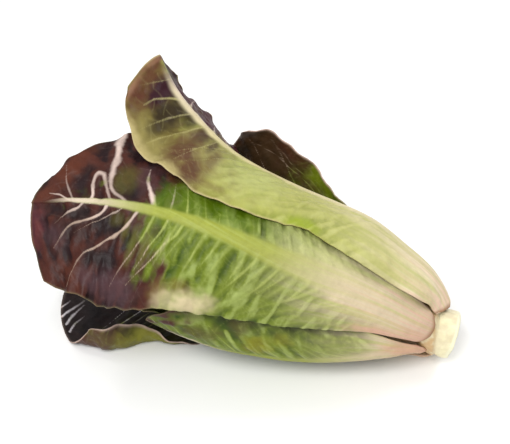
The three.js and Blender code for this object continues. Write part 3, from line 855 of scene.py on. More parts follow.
# A vein pattern: where the side veins start and stop, their spacing and width in mm, their angle to the
# rib at five places from foot to tip, how far out they stay bright, the spacing and width of the fine
# veins, and the drawn veins: first and last width, strength, and the (row, span) places they pass.
FRONT_VEINS_AND_HIGHLIGHT = {
    "from": 0.14,
    "until": 0.6,
    "spacing": 6.6,
    "width": 1.3,
    "angles": (12, 34, 64, 60, 50),
    "low_angles": (12, 40, 82, 74, 56),
    "bright_to": 0.22,
    "mesh": 6.5,
    "fine_width": 0.4,
    "drawn": [
        (1.5, 1.2, 1, [
            (0.845, 0), (0.846, 0.1), (0.853, 0.22), (0.853, 0.31), (0.847, 0.345), (0.838, 0.33),
            (0.828, 0.26), (0.812, 0.15), (0.797, 0.02),
        ]),
        # A vein from the high margin, drawn wide and pale there: its broad end is a painted highlight on a
        # fold.
        (2.9, 1, 1, [
            (0.863, 0.96), (0.853, 0.82), (0.842, 0.7), (0.832, 0.6), (0.822, 0.45), (0.817, 0.3),
            (0.808, 0.2), (0.793, 0.14), (0.772, 0.1), (0.752, 0.05), (0.735, 0),
        ]),
        (2.3, 0.5, 1, [
            (0.668, 0), (0.682, 0.07), (0.7, 0.16), (0.722, 0.27), (0.738, 0.37), (0.746, 0.48),
        ]),
        (0.8, 0.4, 0.8, [(0.9, 0), (0.912, 0.07), (0.93, 0.13), (0.95, 0.17)]),
        (0.8, 0.4, 0.5, [(0.89, 0), (0.9, 0.12), (0.915, 0.26), (0.93, 0.45), (0.94, 0.62)]),
        (1, 0.4, 1, [(0.86, 0), (0.873, -0.05), (0.888, -0.09), (0.905, -0.15), (0.925, -0.24)]),
        (1.3, 0.6, 1, [
            (0.8, 0), (0.804, -0.05), (0.812, -0.1), (0.83, -0.155), (0.855, -0.2), (0.88, -0.245),
            (0.895, -0.3), (0.91, -0.4), (0.93, -0.52),
        ]),
        (0.6, 0.4, 0.6, [(0.757, -0.02), (0.78, -0.08), (0.81, -0.17), (0.84, -0.24), (0.87, -0.33)]),
        (1.3, 0.5, 0.9, [
            (0.72, 0), (0.728, -0.08), (0.736, -0.17), (0.757, -0.28), (0.783, -0.37), (0.807, -0.45),
            (0.837, -0.52), (0.853, -0.59), (0.869, -0.68), (0.885, -0.79), (0.9, -0.9),
        ]),
        (0.9, 0.4, 0.7, [
            (0.68, 0), (0.683, -0.1), (0.686, -0.2), (0.692, -0.31), (0.703, -0.44), (0.72, -0.58),
            (0.74, -0.74),
        ]),
        (1.1, 0.4, 0.9, [
            (0.645, 0), (0.65, -0.1), (0.655, -0.19), (0.663, -0.3), (0.669, -0.43), (0.68, -0.56),
        ]),
        (1.1, 0.4, 1, [
            (0.61, 0), (0.615, -0.08), (0.622, -0.15), (0.632, -0.25), (0.641, -0.37), (0.653, -0.48),
            (0.668, -0.58), (0.69, -0.72),
        ]),
        (1, 0.4, 0.4, [(0.645, 0), (0.65, 0.12), (0.66, 0.26), (0.675, 0.42)]),
    ],
}
BROAD_VEINS = {
    "from": 0.1,
    "until": 0.97,
    "spacing": 8,
    "width": 1.1,
    "angles": (14, 32, 52, 55, 40),
    "bright_to": 0.6,
    "mesh": 6.5,
    "fine_width": 0.4,
}
TOP_VEINS = {
    **BROAD_VEINS,
    "until": 0.66,
    "spacing": 9,
    "width": 0.8,
    "drawn": [
        (1, 0.6, 0.9, [
            (0.85, 0), (0.86, -0.09), (0.873, -0.17), (0.886, -0.28), (0.9, -0.42), (0.905, -0.55),
        ]),
        (1, 0.6, 0.9, [
            (0.76, 0), (0.766, -0.1), (0.776, -0.22), (0.786, -0.35), (0.8, -0.47), (0.811, -0.58),
            (0.823, -0.68), (0.836, -0.8),
        ]),
        (0.8, 0.5, 0.5, [(0.92, 0), (0.925, -0.15), (0.935, -0.3), (0.95, -0.5)]),
        (0.8, 0.5, 0.6, [(0.805, 0), (0.815, -0.12), (0.83, -0.28), (0.85, -0.5), (0.87, -0.75)]),
        (0.8, 0.5, 0.7, [(0.71, 0), (0.715, -0.15), (0.725, -0.35), (0.74, -0.55), (0.76, -0.8)]),
        (0.9, 0.5, 0.7, [(0.83, 0), (0.84, 0.2), (0.86, 0.5), (0.88, 0.8)]),
        (0.9, 0.5, 0.7, [(0.74, 0), (0.75, 0.2), (0.77, 0.5), (0.79, 0.8)]),
    ],
}
FLOOR_VEINS_AND_GLINTS = {
    **BROAD_VEINS,
    "until": 0.8,
    "width": 0.8,
    "bright_to": 0.2,
    # The drawn strokes near the tip are painted reflections: the floor leaf's tones paint them near white on
    # its dark inner face.
    "drawn": [
        (1.3, 0.8, 1, [(0.996, 0.26), (0.976, 0.14), (0.955, 0.03)]),
        (1.2, 0.7, 1, [(0.988, 0.36), (0.97, 0.21), (0.952, 0.08)]),
        (1.2, 0.7, 1, [(0.999, 0.13), (0.985, 0.04)]),
        (1, 0.6, 0.9, [(0.985, 0.46), (0.968, 0.34), (0.95, 0.24)]),
    ],
}
LOW_VEINS = {**BROAD_VEINS, "bright_to": 0.25, "width": 0.9}
HEART_VEINS = {**BROAD_VEINS, "spacing": 9, "width": 0.9, "mesh": 7.5, "fine_width": 0.5}

# A rib row is (share of the leaf's length, mm along the head, mm out from its centre line,
# degrees round it, from straight up and positive away from the viewer).
# A side row is (share of the length, half-width in mm, bend towards the heart in 1/m).
# "red" rows: share of the length, then how red the leaf is at its centre, the low edge and the high edge.
# "pale" rows: share of the length, then how cream the leaf is at its centre and at its edges.
# "rib_widths": the coloured rib's width at RIB_SHARES, as shares of RIB_HALF_WIDTH.
# "rib_shift" rows: share of the length, then mm from the centre to the rib, towards the high edge.
# "low_blisters": the lean of the blisters on the low side, where it isn't that of the veins.
# "ragged" and "red_spread": how torn the layers' edges are, and how soon the red spreads off the centre.
# "layers": colours laid on in soft ovals, each (row, span, row radius, span radius, amount).
THIN_RIB = (1.1, 0.6, 0.4, 0.1)
FRONT_LEAF = {
    "node": "outer_leaf_front",
    "rib": [
        (0, 15, 15.6, -62), (0.05, 26, 24, -62), (0.12, 43, 31.5, -60), (0.2, 61, 37.5, -57.5),
        (0.32, 90, 43.8, -53.5), (0.46, 122, 48.5, -45.5), (0.6, 154, 50, -34), (0.67, 169, 49, -29.2),
        (0.74, 184, 47.5, -25.8), (0.81, 198.5, 45.3, -24.2), (0.88, 213, 43, -24), (1, 236, 39, -26),
    ],
    "low": [
        (0, 5.4, 60), (0.08, 9.9, 28), (0.2, 17.8, 20), (0.35, 27.5, 17), (0.5, 39, 15), (0.62, 50, 13),
        (0.7, 54.5, 12), (0.76, 53, 11), (0.82, 50.5, 10), (0.88, 47.5, 9), (0.94, 44, 9), (1, 30, 9),
    ],
    "high": [
        (0, 13, 60), (0.08, 18, 43), (0.2, 25, 28.5), (0.35, 34, 23.5), (0.52, 43, 21), (0.7, 56, 15),
        (0.79, 56, 9), (0.846, 42, 6), (0.893, 32, 6), (0.94, 22, 6), (1, 10, 6),
    ],
    "tip_from": 0.94,
    "wave": (1.9, 7.5, 0.4),
    "piece": "leaf_front",
    "slot": "red_leaf",
    "grid": (300, 150),
    "relief": 1,
    "rib_widths": (1.4, 0.76, 0.42, 0.04),
    "rib_shift": [
        (0, 0), (0.1, 2.5), (0.2, 6.5), (0.33, 10.5), (0.45, 10), (0.55, 7.5), (0.65, 4), (0.75, 2),
        (0.9, 1.5), (1, 0.5),
    ],
    "veins": FRONT_VEINS_AND_HIGHLIGHT,
    "low_blisters": (12, 55, 100, 80, 60),
    "ragged": 0.2,
    "red": [
        (0, 0, 0, 0), (0.4, 0, 0, 0), (0.5, 0, 0.1, 0.1), (0.57, 0, 0.55, 0.2), (0.63, 0.2, 0.95, 0.55),
        (0.68, 0.5, 1, 0.8), (0.74, 0.9, 1, 1), (1, 1, 1, 1),
    ],
    "pale": [(0, 1, 1), (0.14, 0.95, 0.6), (0.24, 0.65, 0.15), (0.36, 0.2, 0), (0.5, 0, 0), (1, 0, 0)],
    "tones": "red_leaf",
    "layers": [
        # Painted shadow: a dark green patch on the high side, under the edge of the top leaf, laid over the
        # leaf's own saturated green.
        (shade(74, 98, 2), [
            (0.57, 0.5, 0.1, 0.28, 0.8), (0.66, 0.3, 0.04, 0.2, 0.7), (0.45, 0.66, 0.12, 0.14, 0.7),
        ]),
        (shade(24, 12, 13), [
            (0.79, -0.2, 0.06, 0.13, 0.9), (0.87, -0.12, 0.05, 0.08, 0.8), (0.89, -0.32, 0.05, 0.12, 0.6),
            (0.76, 0.2, 0.035, 0.12, 0.8), (0.8, -0.55, 0.05, 0.1, 0.8), (0.71, -0.22, 0.02, 0.12, 0.7),
            (0.66, -0.12, 0.015, 0.08, 0.6),
        ]),
        (shade(92, 44, 24), [
            (0.93, 0.66, 0.04, 0.4, 0.6), (0.97, 0.2, 0.03, 0.3, 0.45), (0.87, -0.76, 0.05, 0.14, 0.4),
        ]),
        # Purple-brown patches: the leaf's own colour, greyed into a painted sheen along the lower margin.
        (shade(78, 54, 58), [
            (0.73, -0.8, 0.08, 0.18, 0.8), (0.82, -0.8, 0.06, 0.12, 0.6), (0.93, -0.4, 0.03, 0.14, 0.6),
            (0.74, 0.42, 0.03, 0.2, 0.5),
        ]),
        (shade(98, 46, 54), [(0.99, -0.3, 0.03, 0.3, 0.45)]),
        (shade(78, 72, 28), [(0.785, 0.32, 0.028, 0.16, 0.8), (0.765, -0.12, 0.02, 0.08, 0.6)]),
        (shade(98, 98, 40), [
            (0.705, -0.3, 0.014, 0.24, 0.6), (0.67, -0.34, 0.014, 0.26, 0.6),
            (0.735, -0.2, 0.01, 0.14, 0.5),
        ]),
        (shade(112, 92, 46), [(0.56, -0.66, 0.025, 0.12, 0.6), (0.605, -0.74, 0.025, 0.14, 0.6)]),
        # A cream-tan patch on the lower margin: the leaf's tan, lightened into a painted highlight.
        (shade(204, 188, 150), [(0.525, -0.86, 0.05, 0.22, 0.9), (0.585, -0.86, 0.03, 0.16, 0.5)]),
        (shade(190, 188, 132), [(0.24, 0.55, 0.13, 0.5, 0.75), (0.36, 0.6, 0.08, 0.4, 0.4)]),
        (shade(206, 158, 138), [(0.09, -0.85, 0.09, 0.3, 0.6), (0.03, -0.5, 0.05, 0.5, 0.5)]),
    ],
}
TOP_LEAF = {
    "node": "outer_leaf_top",
    "rib": [
        (0, 7, 15.8, 41), (0.05, 13, 22.5, 41), (0.1, 21, 28.2, 41), (0.18, 37, 33.6, 41),
        (0.27, 57, 40.5, 41), (0.36, 76, 44, 41), (0.46, 97, 47.6, 41), (0.56, 118, 52.5, 41),
        (0.63, 133, 58, 41), (0.69, 144, 64.5, 41), (0.76, 155, 73, 41), (0.83, 165.5, 82.5, 41),
        (0.9, 174, 92.5, 41), (1, 183, 107, 41),
    ],
    "low": [
        (0, 18, 60), (0.05, 27, 45), (0.1, 37, 35), (0.18, 44, 28.5), (0.27, 47.5, 23.5),
        (0.34, 46.5, 21.8), (0.4, 45, 20.5), (0.47, 48.5, 19.5), (0.56, 53, 18.5), (0.63, 52, 17),
        (0.69, 49.5, 14), (0.76, 45.5, 9), (0.83, 39.5, 6), (0.89, 32.5, 5), (0.94, 22, 4), (1, 8, 6),
    ],
    "high": [
        (0, 15, 60), (0.08, 18, 40), (0.18, 24, 31), (0.3, 34, 24.5), (0.45, 40, 20), (0.58, 40, 10),
        (0.7, 38, 4), (0.8, 32, 2), (0.9, 22, 2), (1, 8, 2),
    ],
    "low_fold": [
        (0, 0), (0.5, 0), (0.56, 2), (0.63, 7), (0.69, 18), (0.76, 36), (0.83, 52), (0.89, 60), (1, 66),
    ],
    "high_fold": [(0, 0), (0.45, 0), (0.58, -4), (0.7, -9), (0.8, -9), (0.9, -7), (1, -3)],
    "tip_from": 0.93,
    "wave": (1.5, 6.5, 1.9),
    "piece": "leaf_top",
    "slot": "olive_leaf",
    "grid": (300, 150),
    "relief": 0.75,
    "rib_widths": (1.2, 0.95, 0.86, 0.4),
    "red_spread": 0.35,
    "ragged": 0.2,
    "veins": TOP_VEINS,
    "red": [
        (0, 0, 0, 0), (0.55, 0, 0, 0), (0.64, 0, 0.1, 0.8), (0.8, 0.1, 0.15, 1), (0.93, 0.3, 0.4, 1),
        (1, 1, 0.7, 1),
    ],
    "pale": [(0, 1, 1), (0.12, 1, 0.8), (0.25, 0.6, 0.2), (0.45, 0.12, 0), (0.6, 0, 0), (1, 0, 0)],
    "tones": "olive_leaf",
    "layers": [
        (shade(176, 176, 96), [(0.26, -0.4, 0.14, 0.6, 0.6), (0.5, -0.25, 0.12, 0.2, 0.4)]),
        (shade(108, 96, 46), [(0.88, -0.75, 0.22, 0.75, 1.3)]),
        (shade(66, 22, 32), [(0.8, 0.7, 0.2, 0.7, 0.9)]),
        (shade(134, 124, 70), [(0.8, -0.85, 0.12, 0.24, 0.8), (0.71, -0.5, 0.05, 0.6, 0.6)]),
        (shade(78, 34, 24), [(0.95, -0.5, 0.05, 0.5, 0.95), (0.91, -0.3, 0.035, 0.25, 0.9)]),
        (shade(46, 15, 24), [(0.903, -0.2, 0.034, 0.32, 1.1)]),
        (shade(150, 108, 84), [(0.975, -0.75, 0.02, 0.22, 0.6), (0.99, -0.2, 0.012, 0.4, 0.5)]),
        (shade(46, 35, 14), [(0.845, -0.32, 0.036, 0.36, 1), (0.81, -0.14, 0.03, 0.16, 1)]),
        (shade(64, 40, 28), [
            (0.752, -0.22, 0.02, 0.26, 1), (0.735, -0.08, 0.018, 0.11, 1), (0.712, -0.3, 0.01, 0.2, 0.8),
        ]),
        (shade(88, 60, 38), [
            (0.76, -0.62, 0.036, 0.36, 1), (0.725, -0.84, 0.035, 0.2, 0.9), (0.69, -0.5, 0.015, 0.25, 0.6),
        ]),
        (shade(176, 182, 118), [(0.6, -0.45, 0.08, 0.4, 0.4)]),
        # Painted glow: saturated yellow-green where light shines through the thin curled margin.
        (shade(138, 156, 10), [(0.45, -0.94, 0.05, 0.1, 0.7)]),
        (shade(176, 162, 110), [(0.86, -1, 0.09, 0.13, 0.8), (0.77, -1, 0.04, 0.1, 0.6)]),
    ],
}
BACK_LEAF = {
    "node": "outer_leaf_back",
    "rib": [
        (0, 9, 15.8, 112), (0.1, 23, 27.5, 110), (0.25, 48, 39.5, 107), (0.42, 76, 49, 102),
        (0.6, 105, 59, 97), (0.8, 133, 68, 93), (1, 150, 74, 92),
    ],
    "low": [
        (0, 11, 60), (0.12, 13, 35), (0.25, 17, 24), (0.42, 25, 12), (0.55, 34, 3), (0.7, 43, 1),
        (0.8, 45, 1), (0.88, 40, 1), (1, 24, 1),
    ],
    "high": [
        (0, 7, 60), (0.12, 8, 35), (0.25, 14, 24), (0.42, 22, 18), (0.6, 31, 12), (0.75, 36, 10),
        (0.88, 32, 8), (1, 18, 8),
    ],
    "tip_from": 0.88,
    "wave": (2.4, 6, 0.9),
    "piece": "leaf_back",
    "slot": "dark_leaf",
    "grid": (160, 110),
    "relief": 0.8,
    "rib_widths": THIN_RIB,
    "veins": BROAD_VEINS,
    "red": [(0, 0, 0, 0), (0.5, 0, 0, 0), (0.64, 0.2, 0.3, 0.4), (0.75, 0.6, 1, 0.9), (1, 1, 1, 1)],
    "pale": [(0, 1, 0.8), (0.15, 0.7, 0.2), (0.3, 0.2, 0), (0.5, 0, 0), (1, 0, 0)],
    "tones": "dark_leaf",
    "layers": [
        (shade(66, 48, 26), [(0.86, -0.6, 0.26, 0.9, 0.8)]),
        (shade(112, 128, 8), [
            (0.63, -0.95, 0.06, 0.3, 0.9), (0.53, -0.9, 0.12, 0.5, 1), (0.64, -0.4, 0.1, 0.2, 0.6),
        ]),
        # Painted sheen: a grey reflection on the glossy upper left of the back leaf.
        (shade(104, 96, 92), [(0.97, -0.9, 0.05, 0.14, 0.6)]),
        (shade(78, 38, 26), [(0.77, -0.95, 0.06, 0.14, 0.7)]),
        (shade(24, 20, 10), [(0.93, -0.55, 0.06, 0.16, 0.7)]),
    ],
}
FLOOR_LEAF = {
    "node": "outer_leaf_floor",
    "rib": [
        (0, 12, 15.6, 176), (0.05, 22, 21.5, 176), (0.12, 38, 31.6, 175), (0.2, 57, 41.6, 172),
        (0.32, 84, 47.7, 171), (0.46, 116, 53.3, 170), (0.6, 148, 57.4, 169.5), (0.74, 180, 58.7, 169.5),
        (0.88, 208, 59.2, 170), (1, 234, 58.8, 172),
    ],
    "low": [
        (0, 10, 60), (0.08, 13, 46), (0.2, 21, 30), (0.35, 33, 23), (0.52, 46, 16), (0.7, 50, 10),
        (0.8, 46, 8), (0.88, 36, 6), (1, 16, 5),
    ],
    "high": [
        (0, 9, 60), (0.08, 9, 40), (0.2, 10, 22), (0.35, 11, 16), (0.5, 16, 12), (0.6, 26, 6), (0.7, 44, 2),
        (0.78, 57, 2), (0.84, 60, 2), (0.88, 56, 2), (1, 30, 2),
    ],
    # The margin nearest the front turns up off the floor: share, mm from the rib, bend in 1/m.
    "high_turn": [
        (0, 99, 0), (0.5, 40, 10), (0.6, 18, 50), (0.7, 17, 74), (0.78, 22, 64), (0.84, 26, 62),
        (0.88, 25, 68), (1, 25, 60),
    ],
    "tip_from": 0.88,
    "wave": (1.3, 6, 0.62),
    "piece": "leaf_floor",
    "slot": "dark_leaf",
    "grid": (230, 140),
    "relief": 0.8,
    "rib_widths": THIN_RIB,
    "veins": FLOOR_VEINS_AND_GLINTS,
    "red": [(0, 0, 0, 0), (0.5, 0, 0, 0), (0.65, 0.2, 0.3, 0.1), (0.8, 0.6, 0.8, 0.3), (1, 1, 1, 0.7)],
    "pale": [(0, 1, 0.9), (0.15, 0.8, 0.4), (0.3, 0.3, 0.1), (0.5, 0, 0), (1, 0, 0)],
    "tones": "wet_leaf",
    "layers": [
        (shade(120, 130, 50), [(0.3, 0.7, 0.3, 1, 0.95)]),
        (shade(124, 122, 40), [(0.8, 0.8, 0.07, 0.3, 0.9), (0.87, 0.7, 0.03, 0.3, 0.6)]),
        (shade(84, 58, 44), [(0.94, 0.8, 0.06, 0.3, 0.8)]),
    ],
}
LOW_LEAF = {
    "node": "outer_leaf_low",
    "rib": [
        (0, 17, 14.9, -123), (0.06, 25, 18.9, -124), (0.14, 38, 27.4, -127), (0.25, 55, 35.8, -129.5),
        (0.4, 80, 43.4, -131), (0.55, 104, 47.4, -131), (0.7, 127, 49, -131), (0.85, 150, 46.5, -130),
        (1, 172, 41, -129),
    ],
    "low": [
        (0, 12, 60), (0.1, 14, 45), (0.25, 17, 29), (0.42, 21, 25), (0.6, 26, 24), (0.75, 28, 25),
        (0.88, 24, 26), (1, 14, 27),
    ],
    "high": [
        (0, 5, 60), (0.07, 8.3, 56), (0.14, 16, 52), (0.25, 26, 48), (0.42, 33, 40), (0.6, 37, 35),
        (0.75, 35, 32), (0.88, 28, 30), (1, 16, 30),
    ],
    "tip_from": 0.88,
    "wave": (1.3, 5, 1.1),
    "fleshy": 0.85,
    "piece": "leaf_low",
    "slot": "green_leaf",
    "grid": (160, 110),
    "relief": 0.7,
    "rib_widths": (1.3, 0.8, 0.5, 0.1),
    "veins": LOW_VEINS,
    "red": [
        (0, 0, 0, 0), (0.6, 0, 0, 0), (0.75, 0.05, 0.05, 0.2), (0.88, 0.3, 0.3, 0.42), (1, 0.6, 0.6, 0.5),
    ],
    "pale": [(0, 1, 1), (0.15, 0.9, 0.8), (0.3, 0.5, 0.35), (0.5, 0, 0.05), (1, 0, 0)],
    "tones": "green_leaf",
    "layers": [
        (shade(138, 128, 12), [(0.64, 0.4, 0.05, 0.24, 0.5), (0.56, 0.6, 0.04, 0.14, 0.35)]),
        # Painted shadow: dark green on the high side, under the lower edge of the front leaf.
        (shade(30, 42, 6), [(0.62, 0.98, 0.3, 0.26, 0.85)]),
        (shade(70, 56, 24), [(0.84, 0.45, 0.07, 0.2, 0.7), (0.73, 0.75, 0.04, 0.2, 0.5)]),
        (shade(204, 152, 126), [(0.06, 0.7, 0.12, 0.6, 0.6)]),
        (shade(160, 160, 70), [(0.3, -0.2, 0.14, 0.4, 0.6)]),
    ],
}
OUTER_LEAVES = (FRONT_LEAF, TOP_LEAF, BACK_LEAF, FLOOR_LEAF, LOW_LEAF)
INNER_LOOK = {
    "rib_widths": THIN_RIB,
    "red": [(0, 0, 0, 0), (0.6, 0, 0, 0), (0.8, 0.1, 0.3, 0.3), (1, 0.6, 0.7, 0.7)],
    "pale": [(0, 1, 1), (0.2, 0.8, 0.6), (0.45, 0.2, 0), (0.6, 0, 0), (1, 0, 0)],
    # The inner leaves' salmon feet: their own colour, painted much lighter as painted light in the shaded
    # crease between the outer leaves' feet.
    "layers": [(shade(242, 160, 136), [(0.02, 0.0, 0.12, 1.6, 0.95)])],
}
HEART_LOOK = {
    "rib_widths": THIN_RIB,
    "red": [(0, 0, 0, 0), (1, 0, 0, 0)],
    "pale": [(0, 1, 1), (0.3, 0.9, 0.5), (0.6, 0.4, 0.1), (1, 0, 0)],
}


def soft_spots(spots, row, span, ragged):
    """How much of a colour lies at each place: the most that any of its ragged ovals gives."""
    amount = np.zeros_like(row)
    for spot_row, spot_span, row_radius, span_radius, strength in spots:
        apart = ((row - spot_row) / row_radius) ** 2 + ((span - spot_span) / span_radius) ** 2
        reach = np.sqrt(apart) + ragged
        amount = np.maximum(amount, strength * (1 - ease((reach - 0.3) / 1.15)))
    return amount


def blade_fields(leaf, share, span, edge_gap, clouds):
    """Where the leaf is red, cream or pale along its margin."""
    red_rib, red_low, red_high = (column(leaf["red"], i)(share) for i in (1, 2, 3))
    red_edge = np.where(span < 0, red_low, red_high)
    red = red_rib + (red_edge - red_rib) * np.abs(span) ** leaf.get("red_spread", 1.3)
    pale_rib, pale_edge = (column(leaf["pale"], i)(share) for i in (1, 2))
    pale = pale_rib + (pale_edge - pale_rib) * np.abs(span)
    pale = pale * (1 + 0.35 * clouds)
    margin = np.exp(-((edge_gap / MARGIN_LINE) ** 2))
    return np.clip(red, 0, 1), np.clip(pale, 0, 1), margin


# ---------------------------------------------------------------- butt and stage


def soft_least(first, second, softness):
    """The smaller of two lengths, rounded off where they meet."""
    apart = np.clip(0.5 + 0.5 * (second - first) / softness, 0, 1)
    return second + (first - second) * apart - softness * apart * (1 - apart)


def shape_stem(sizes):
    """The butt: a turned core drawn out in rings, then trimmed flat round its side by the knife."""
    bpy.ops.object.select_all(action="DESELECT")
    ring_places = [float(along) for along in np.arange(STEM_RING_GAP, 22, STEM_RING_GAP)]
    ring_places += [25.0, 30.0, 35.0, 40.0, 45.0, 50.0, 55.0]
    centre = (BUTT_X / 1000, 0, 0)
    quarter_turn = (0, math.pi / 2, 0)
    bpy.ops.mesh.primitive_circle_add(
        vertices=STEM_SIDES, radius=0.001, fill_type="TRIFAN", location=centre, rotation=quarter_turn
    )
    piece = bpy.context.object
    piece.name = "trimmed_butt"
    piece.data.name = "trimmed_butt"
    bpy.ops.object.transform_apply(location=True, rotation=True, scale=True)
    bpy.ops.object.mode_set(mode="EDIT")
    for _ in range(12):
        bpy.ops.mesh.select_mode(type="EDGE")
        bpy.ops.mesh.select_all(action="SELECT")
        bpy.ops.mesh.region_to_loop()
        bpy.ops.mesh.extrude_region_move()
        bpy.ops.transform.resize(value=(1.22, 1.22, 1.22), center_override=centre)
    last = 0.0
    for along in ring_places:
        bpy.ops.mesh.extrude_region_move(TRANSFORM_OT_translate={"value": ((last - along) / 1000, 0, 0)})
        last = along
    bpy.ops.mesh.edge_face_add()
    bpy.ops.mesh.select_all(action="SELECT")
    bpy.ops.mesh.normals_make_consistent(inside=False)
    bpy.ops.object.mode_set(mode="OBJECT")
    seat_stem(piece, sizes.butt_edge * 1000)
    bpy.ops.object.shade_smooth()
    return piece


def seat_stem(piece, softness):
    """Moves the drawn-out rings on to the trimmed form of the stem."""
    flat = read_points(piece) * 1000
    along = BUTT_X - flat[:, 0]
    angle = np.arctan2(flat[:, 1], flat[:, 2])
    reach = np.hypot(flat[:, 1], flat[:, 2]) / np.hypot(flat[:, 1], flat[:, 2]).max()
    facing = np.stack([np.sin(angle), np.cos(angle)], axis=-1)
    radius = stem_radius(along)
    for degrees, depth, tilt in KNIFE_CUTS:
        lean = math.radians(tilt)
        turn = math.radians(degrees)
        sideways = math.cos(lean)
        normal = np.array([math.sin(lean), sideways * math.sin(turn), sideways * math.cos(turn)])
        spot = place(KNIFE_CUTS_ALONG, stem_radius(KNIFE_CUTS_ALONG) - depth, degrees)
        centre = place(along, 0, 0)
        gap = ((spot - centre) * normal).sum(-1)
        slope = facing @ normal[1:]
        cut = np.where(slope > 0.15, gap / np.maximum(slope, 0.15), 999.0)
        radius = np.where(cut < 900, soft_least(radius, cut, softness), radius)
    edge_of_end = ease((2.0 - along) / 2.0) * 0.35
    collar = COLLAR_RADIUS * ease((along - 8) / 6) * (1 - ease((along - 21) / 6))
    radius = np.maximum(radius - edge_of_end, np.maximum(collar, 0.3))
    rough = 0.22 * soft_noise(np.degrees(angle) * 0.22, along, 5.0, 3) * ease(along / 2)
    points = place(along, (radius + rough) * reach, np.degrees(angle))
    tilt = math.tan(math.radians(END_CUT_TILT))
    top = float(centre_height(0) + stem_radius(0))
    end = BUTT_X - END_CUT_DEPTH - (top - points[:, 2]) * tilt
    pith = 0.3 * np.exp(-((reach / 0.35) ** 2)) * (along < 0.01)
    ripple = 0.18 * soft_noise(points[:, 1], points[:, 2], 4.0, 8) - pith
    points[:, 0] = np.minimum(points[:, 0], np.minimum(end + ripple, BUTT_X))
    write_points(piece, points)


def turn_to(thing, aim):
    """Turns a lamp or a camera to face a place."""
    thing.rotation_euler = (Vector(aim) - thing.location).to_track_quat("-Z", "Y").to_euler()


def add_lamp(name, at, aim, size, power):
    """A round soft lamp at a place, facing another."""
    bpy.ops.object.light_add(type="AREA", location=at)
    lamp = bpy.context.object
    lamp.name = name
    lamp.data.shape = "DISK"
    lamp.data.size = size
    lamp.data.energy = power
    turn_to(lamp, aim)


def tone_sets(colours):
    """The colours that each kind of leaf is painted with."""
    common = {
        **{name: tuple(getattr(colours, name)) for name in colours.__annotations__},
        "green_foot": shade(176, 180, 104),
        "low_vein": shade(156, 126, 92),
        # dark and light are the painted shade in the hollows and the painted highlight on the puckers.
        "dark": tuple(colours.dark_green),
        "light": tuple(colours.light_green),
        "scar": shade(150, 98, 62),
        "inner": tuple(colours.dark_green),
        "inner_amount": 0.3,
        "pucker_highlight_amount": 0.95,
        "hollow_shade_amount": 1.15,
        "fine_amount": 0.12,
        "pink_amount": 0.8,
        "margin_amount": 0.25,
    }
    olive = {
        "foot": shade(224, 208, 178),
        "pink": shade(226, 184, 164),
        "green": shade(160, 162, 82),
        "dark": shade(136, 142, 60),
        "light": shade(182, 184, 116),
        "vein": shade(176, 168, 112),
        "rib": shade(208, 194, 146),
        "margin": shade(196, 180, 134),
        "margin_amount": 0.75,
        "pucker_highlight_amount": 0.6,
        "inner": shade(84, 4, 20),
        "inner_amount": 0.7,
    }
    dark = {
        "green": shade(88, 80, 30),
        "dark": shade(50, 40, 20),
        "light": shade(116, 108, 50),
        "margin": shade(214, 186, 172),
        "margin_amount": 0.9,
        "pucker_highlight_amount": 0.4,
        "inner": shade(46, 34, 20),
        "inner_amount": 0.3,
    }
    # The floor leaf: a near-black inner face, with near-white veins that are painted reflections.
    glint_tones = {
        "scar": shade(190, 160, 120),
        "inner": shade(22, 17, 19),
        "inner_amount": 0.85,
        "red_vein_and_glint": shade(226, 220, 224),
    }
    heart = {"green": shade(150, 166, 70), "dark": shade(112, 138, 44), "light": shade(184, 194, 112)}
    return {
        "red_leaf": common,
        "olive_leaf": {**common, **olive},
        "dark_leaf": {**common, **dark},
        "wet_leaf": {**common, **dark, **glint_tones},
        "green_leaf": common,
        "heart_leaf": {**common, **heart},
    }


# ---------------------------------------------------------------- settings, operators and panel


def length_setting(name, description, default):
    kind = {"subtype": "DISTANCE", "unit": "LENGTH", "precision": 5}
    return bpy.props.FloatProperty(name=name, description=description, default=default, min=0, **kind)


def colour_setting(name, description, default):
    return bpy.props.FloatVectorProperty(
        name=name, description=description, default=default, min=0, max=1, size=3, subtype="COLOR"
    )


class LettuceSizes(bpy.types.PropertyGroup):
    blade_thickness: length_setting("Blade thickness", "Thickness of a leaf away from its rib", 0.0009)
    rib_thickness: length_setting("Rib thickness", "Thickness of a leaf at the foot of its rib", 0.0034)
    vein_height: length_setting("Vein height", "How far the side veins stand up", 0.0004)
    hollow_depth: length_setting("Hollow depth", "How far the blade sinks between its side veins", 0.0013)
    pucker_height: length_setting("Pucker height", "How far the blade swells between fine veins", 0.0007)
    blister_height: length_setting("Blister height", "Height of the long blisters between the veins", 0.0006)
    crinkle_height: length_setting("Crinkle height", "Height of the fine crinkle", 0.00018)
    buckle_height: length_setting("Buckle height", "Height of the blade's broad dents", 0.0011)
    frill_height: length_setting("Frill height", "Height of the waves along the margin", 0.0012)
    butt_edge: length_setting("Butt edge", "Rounding of the knife-cut edges", 0.0007)


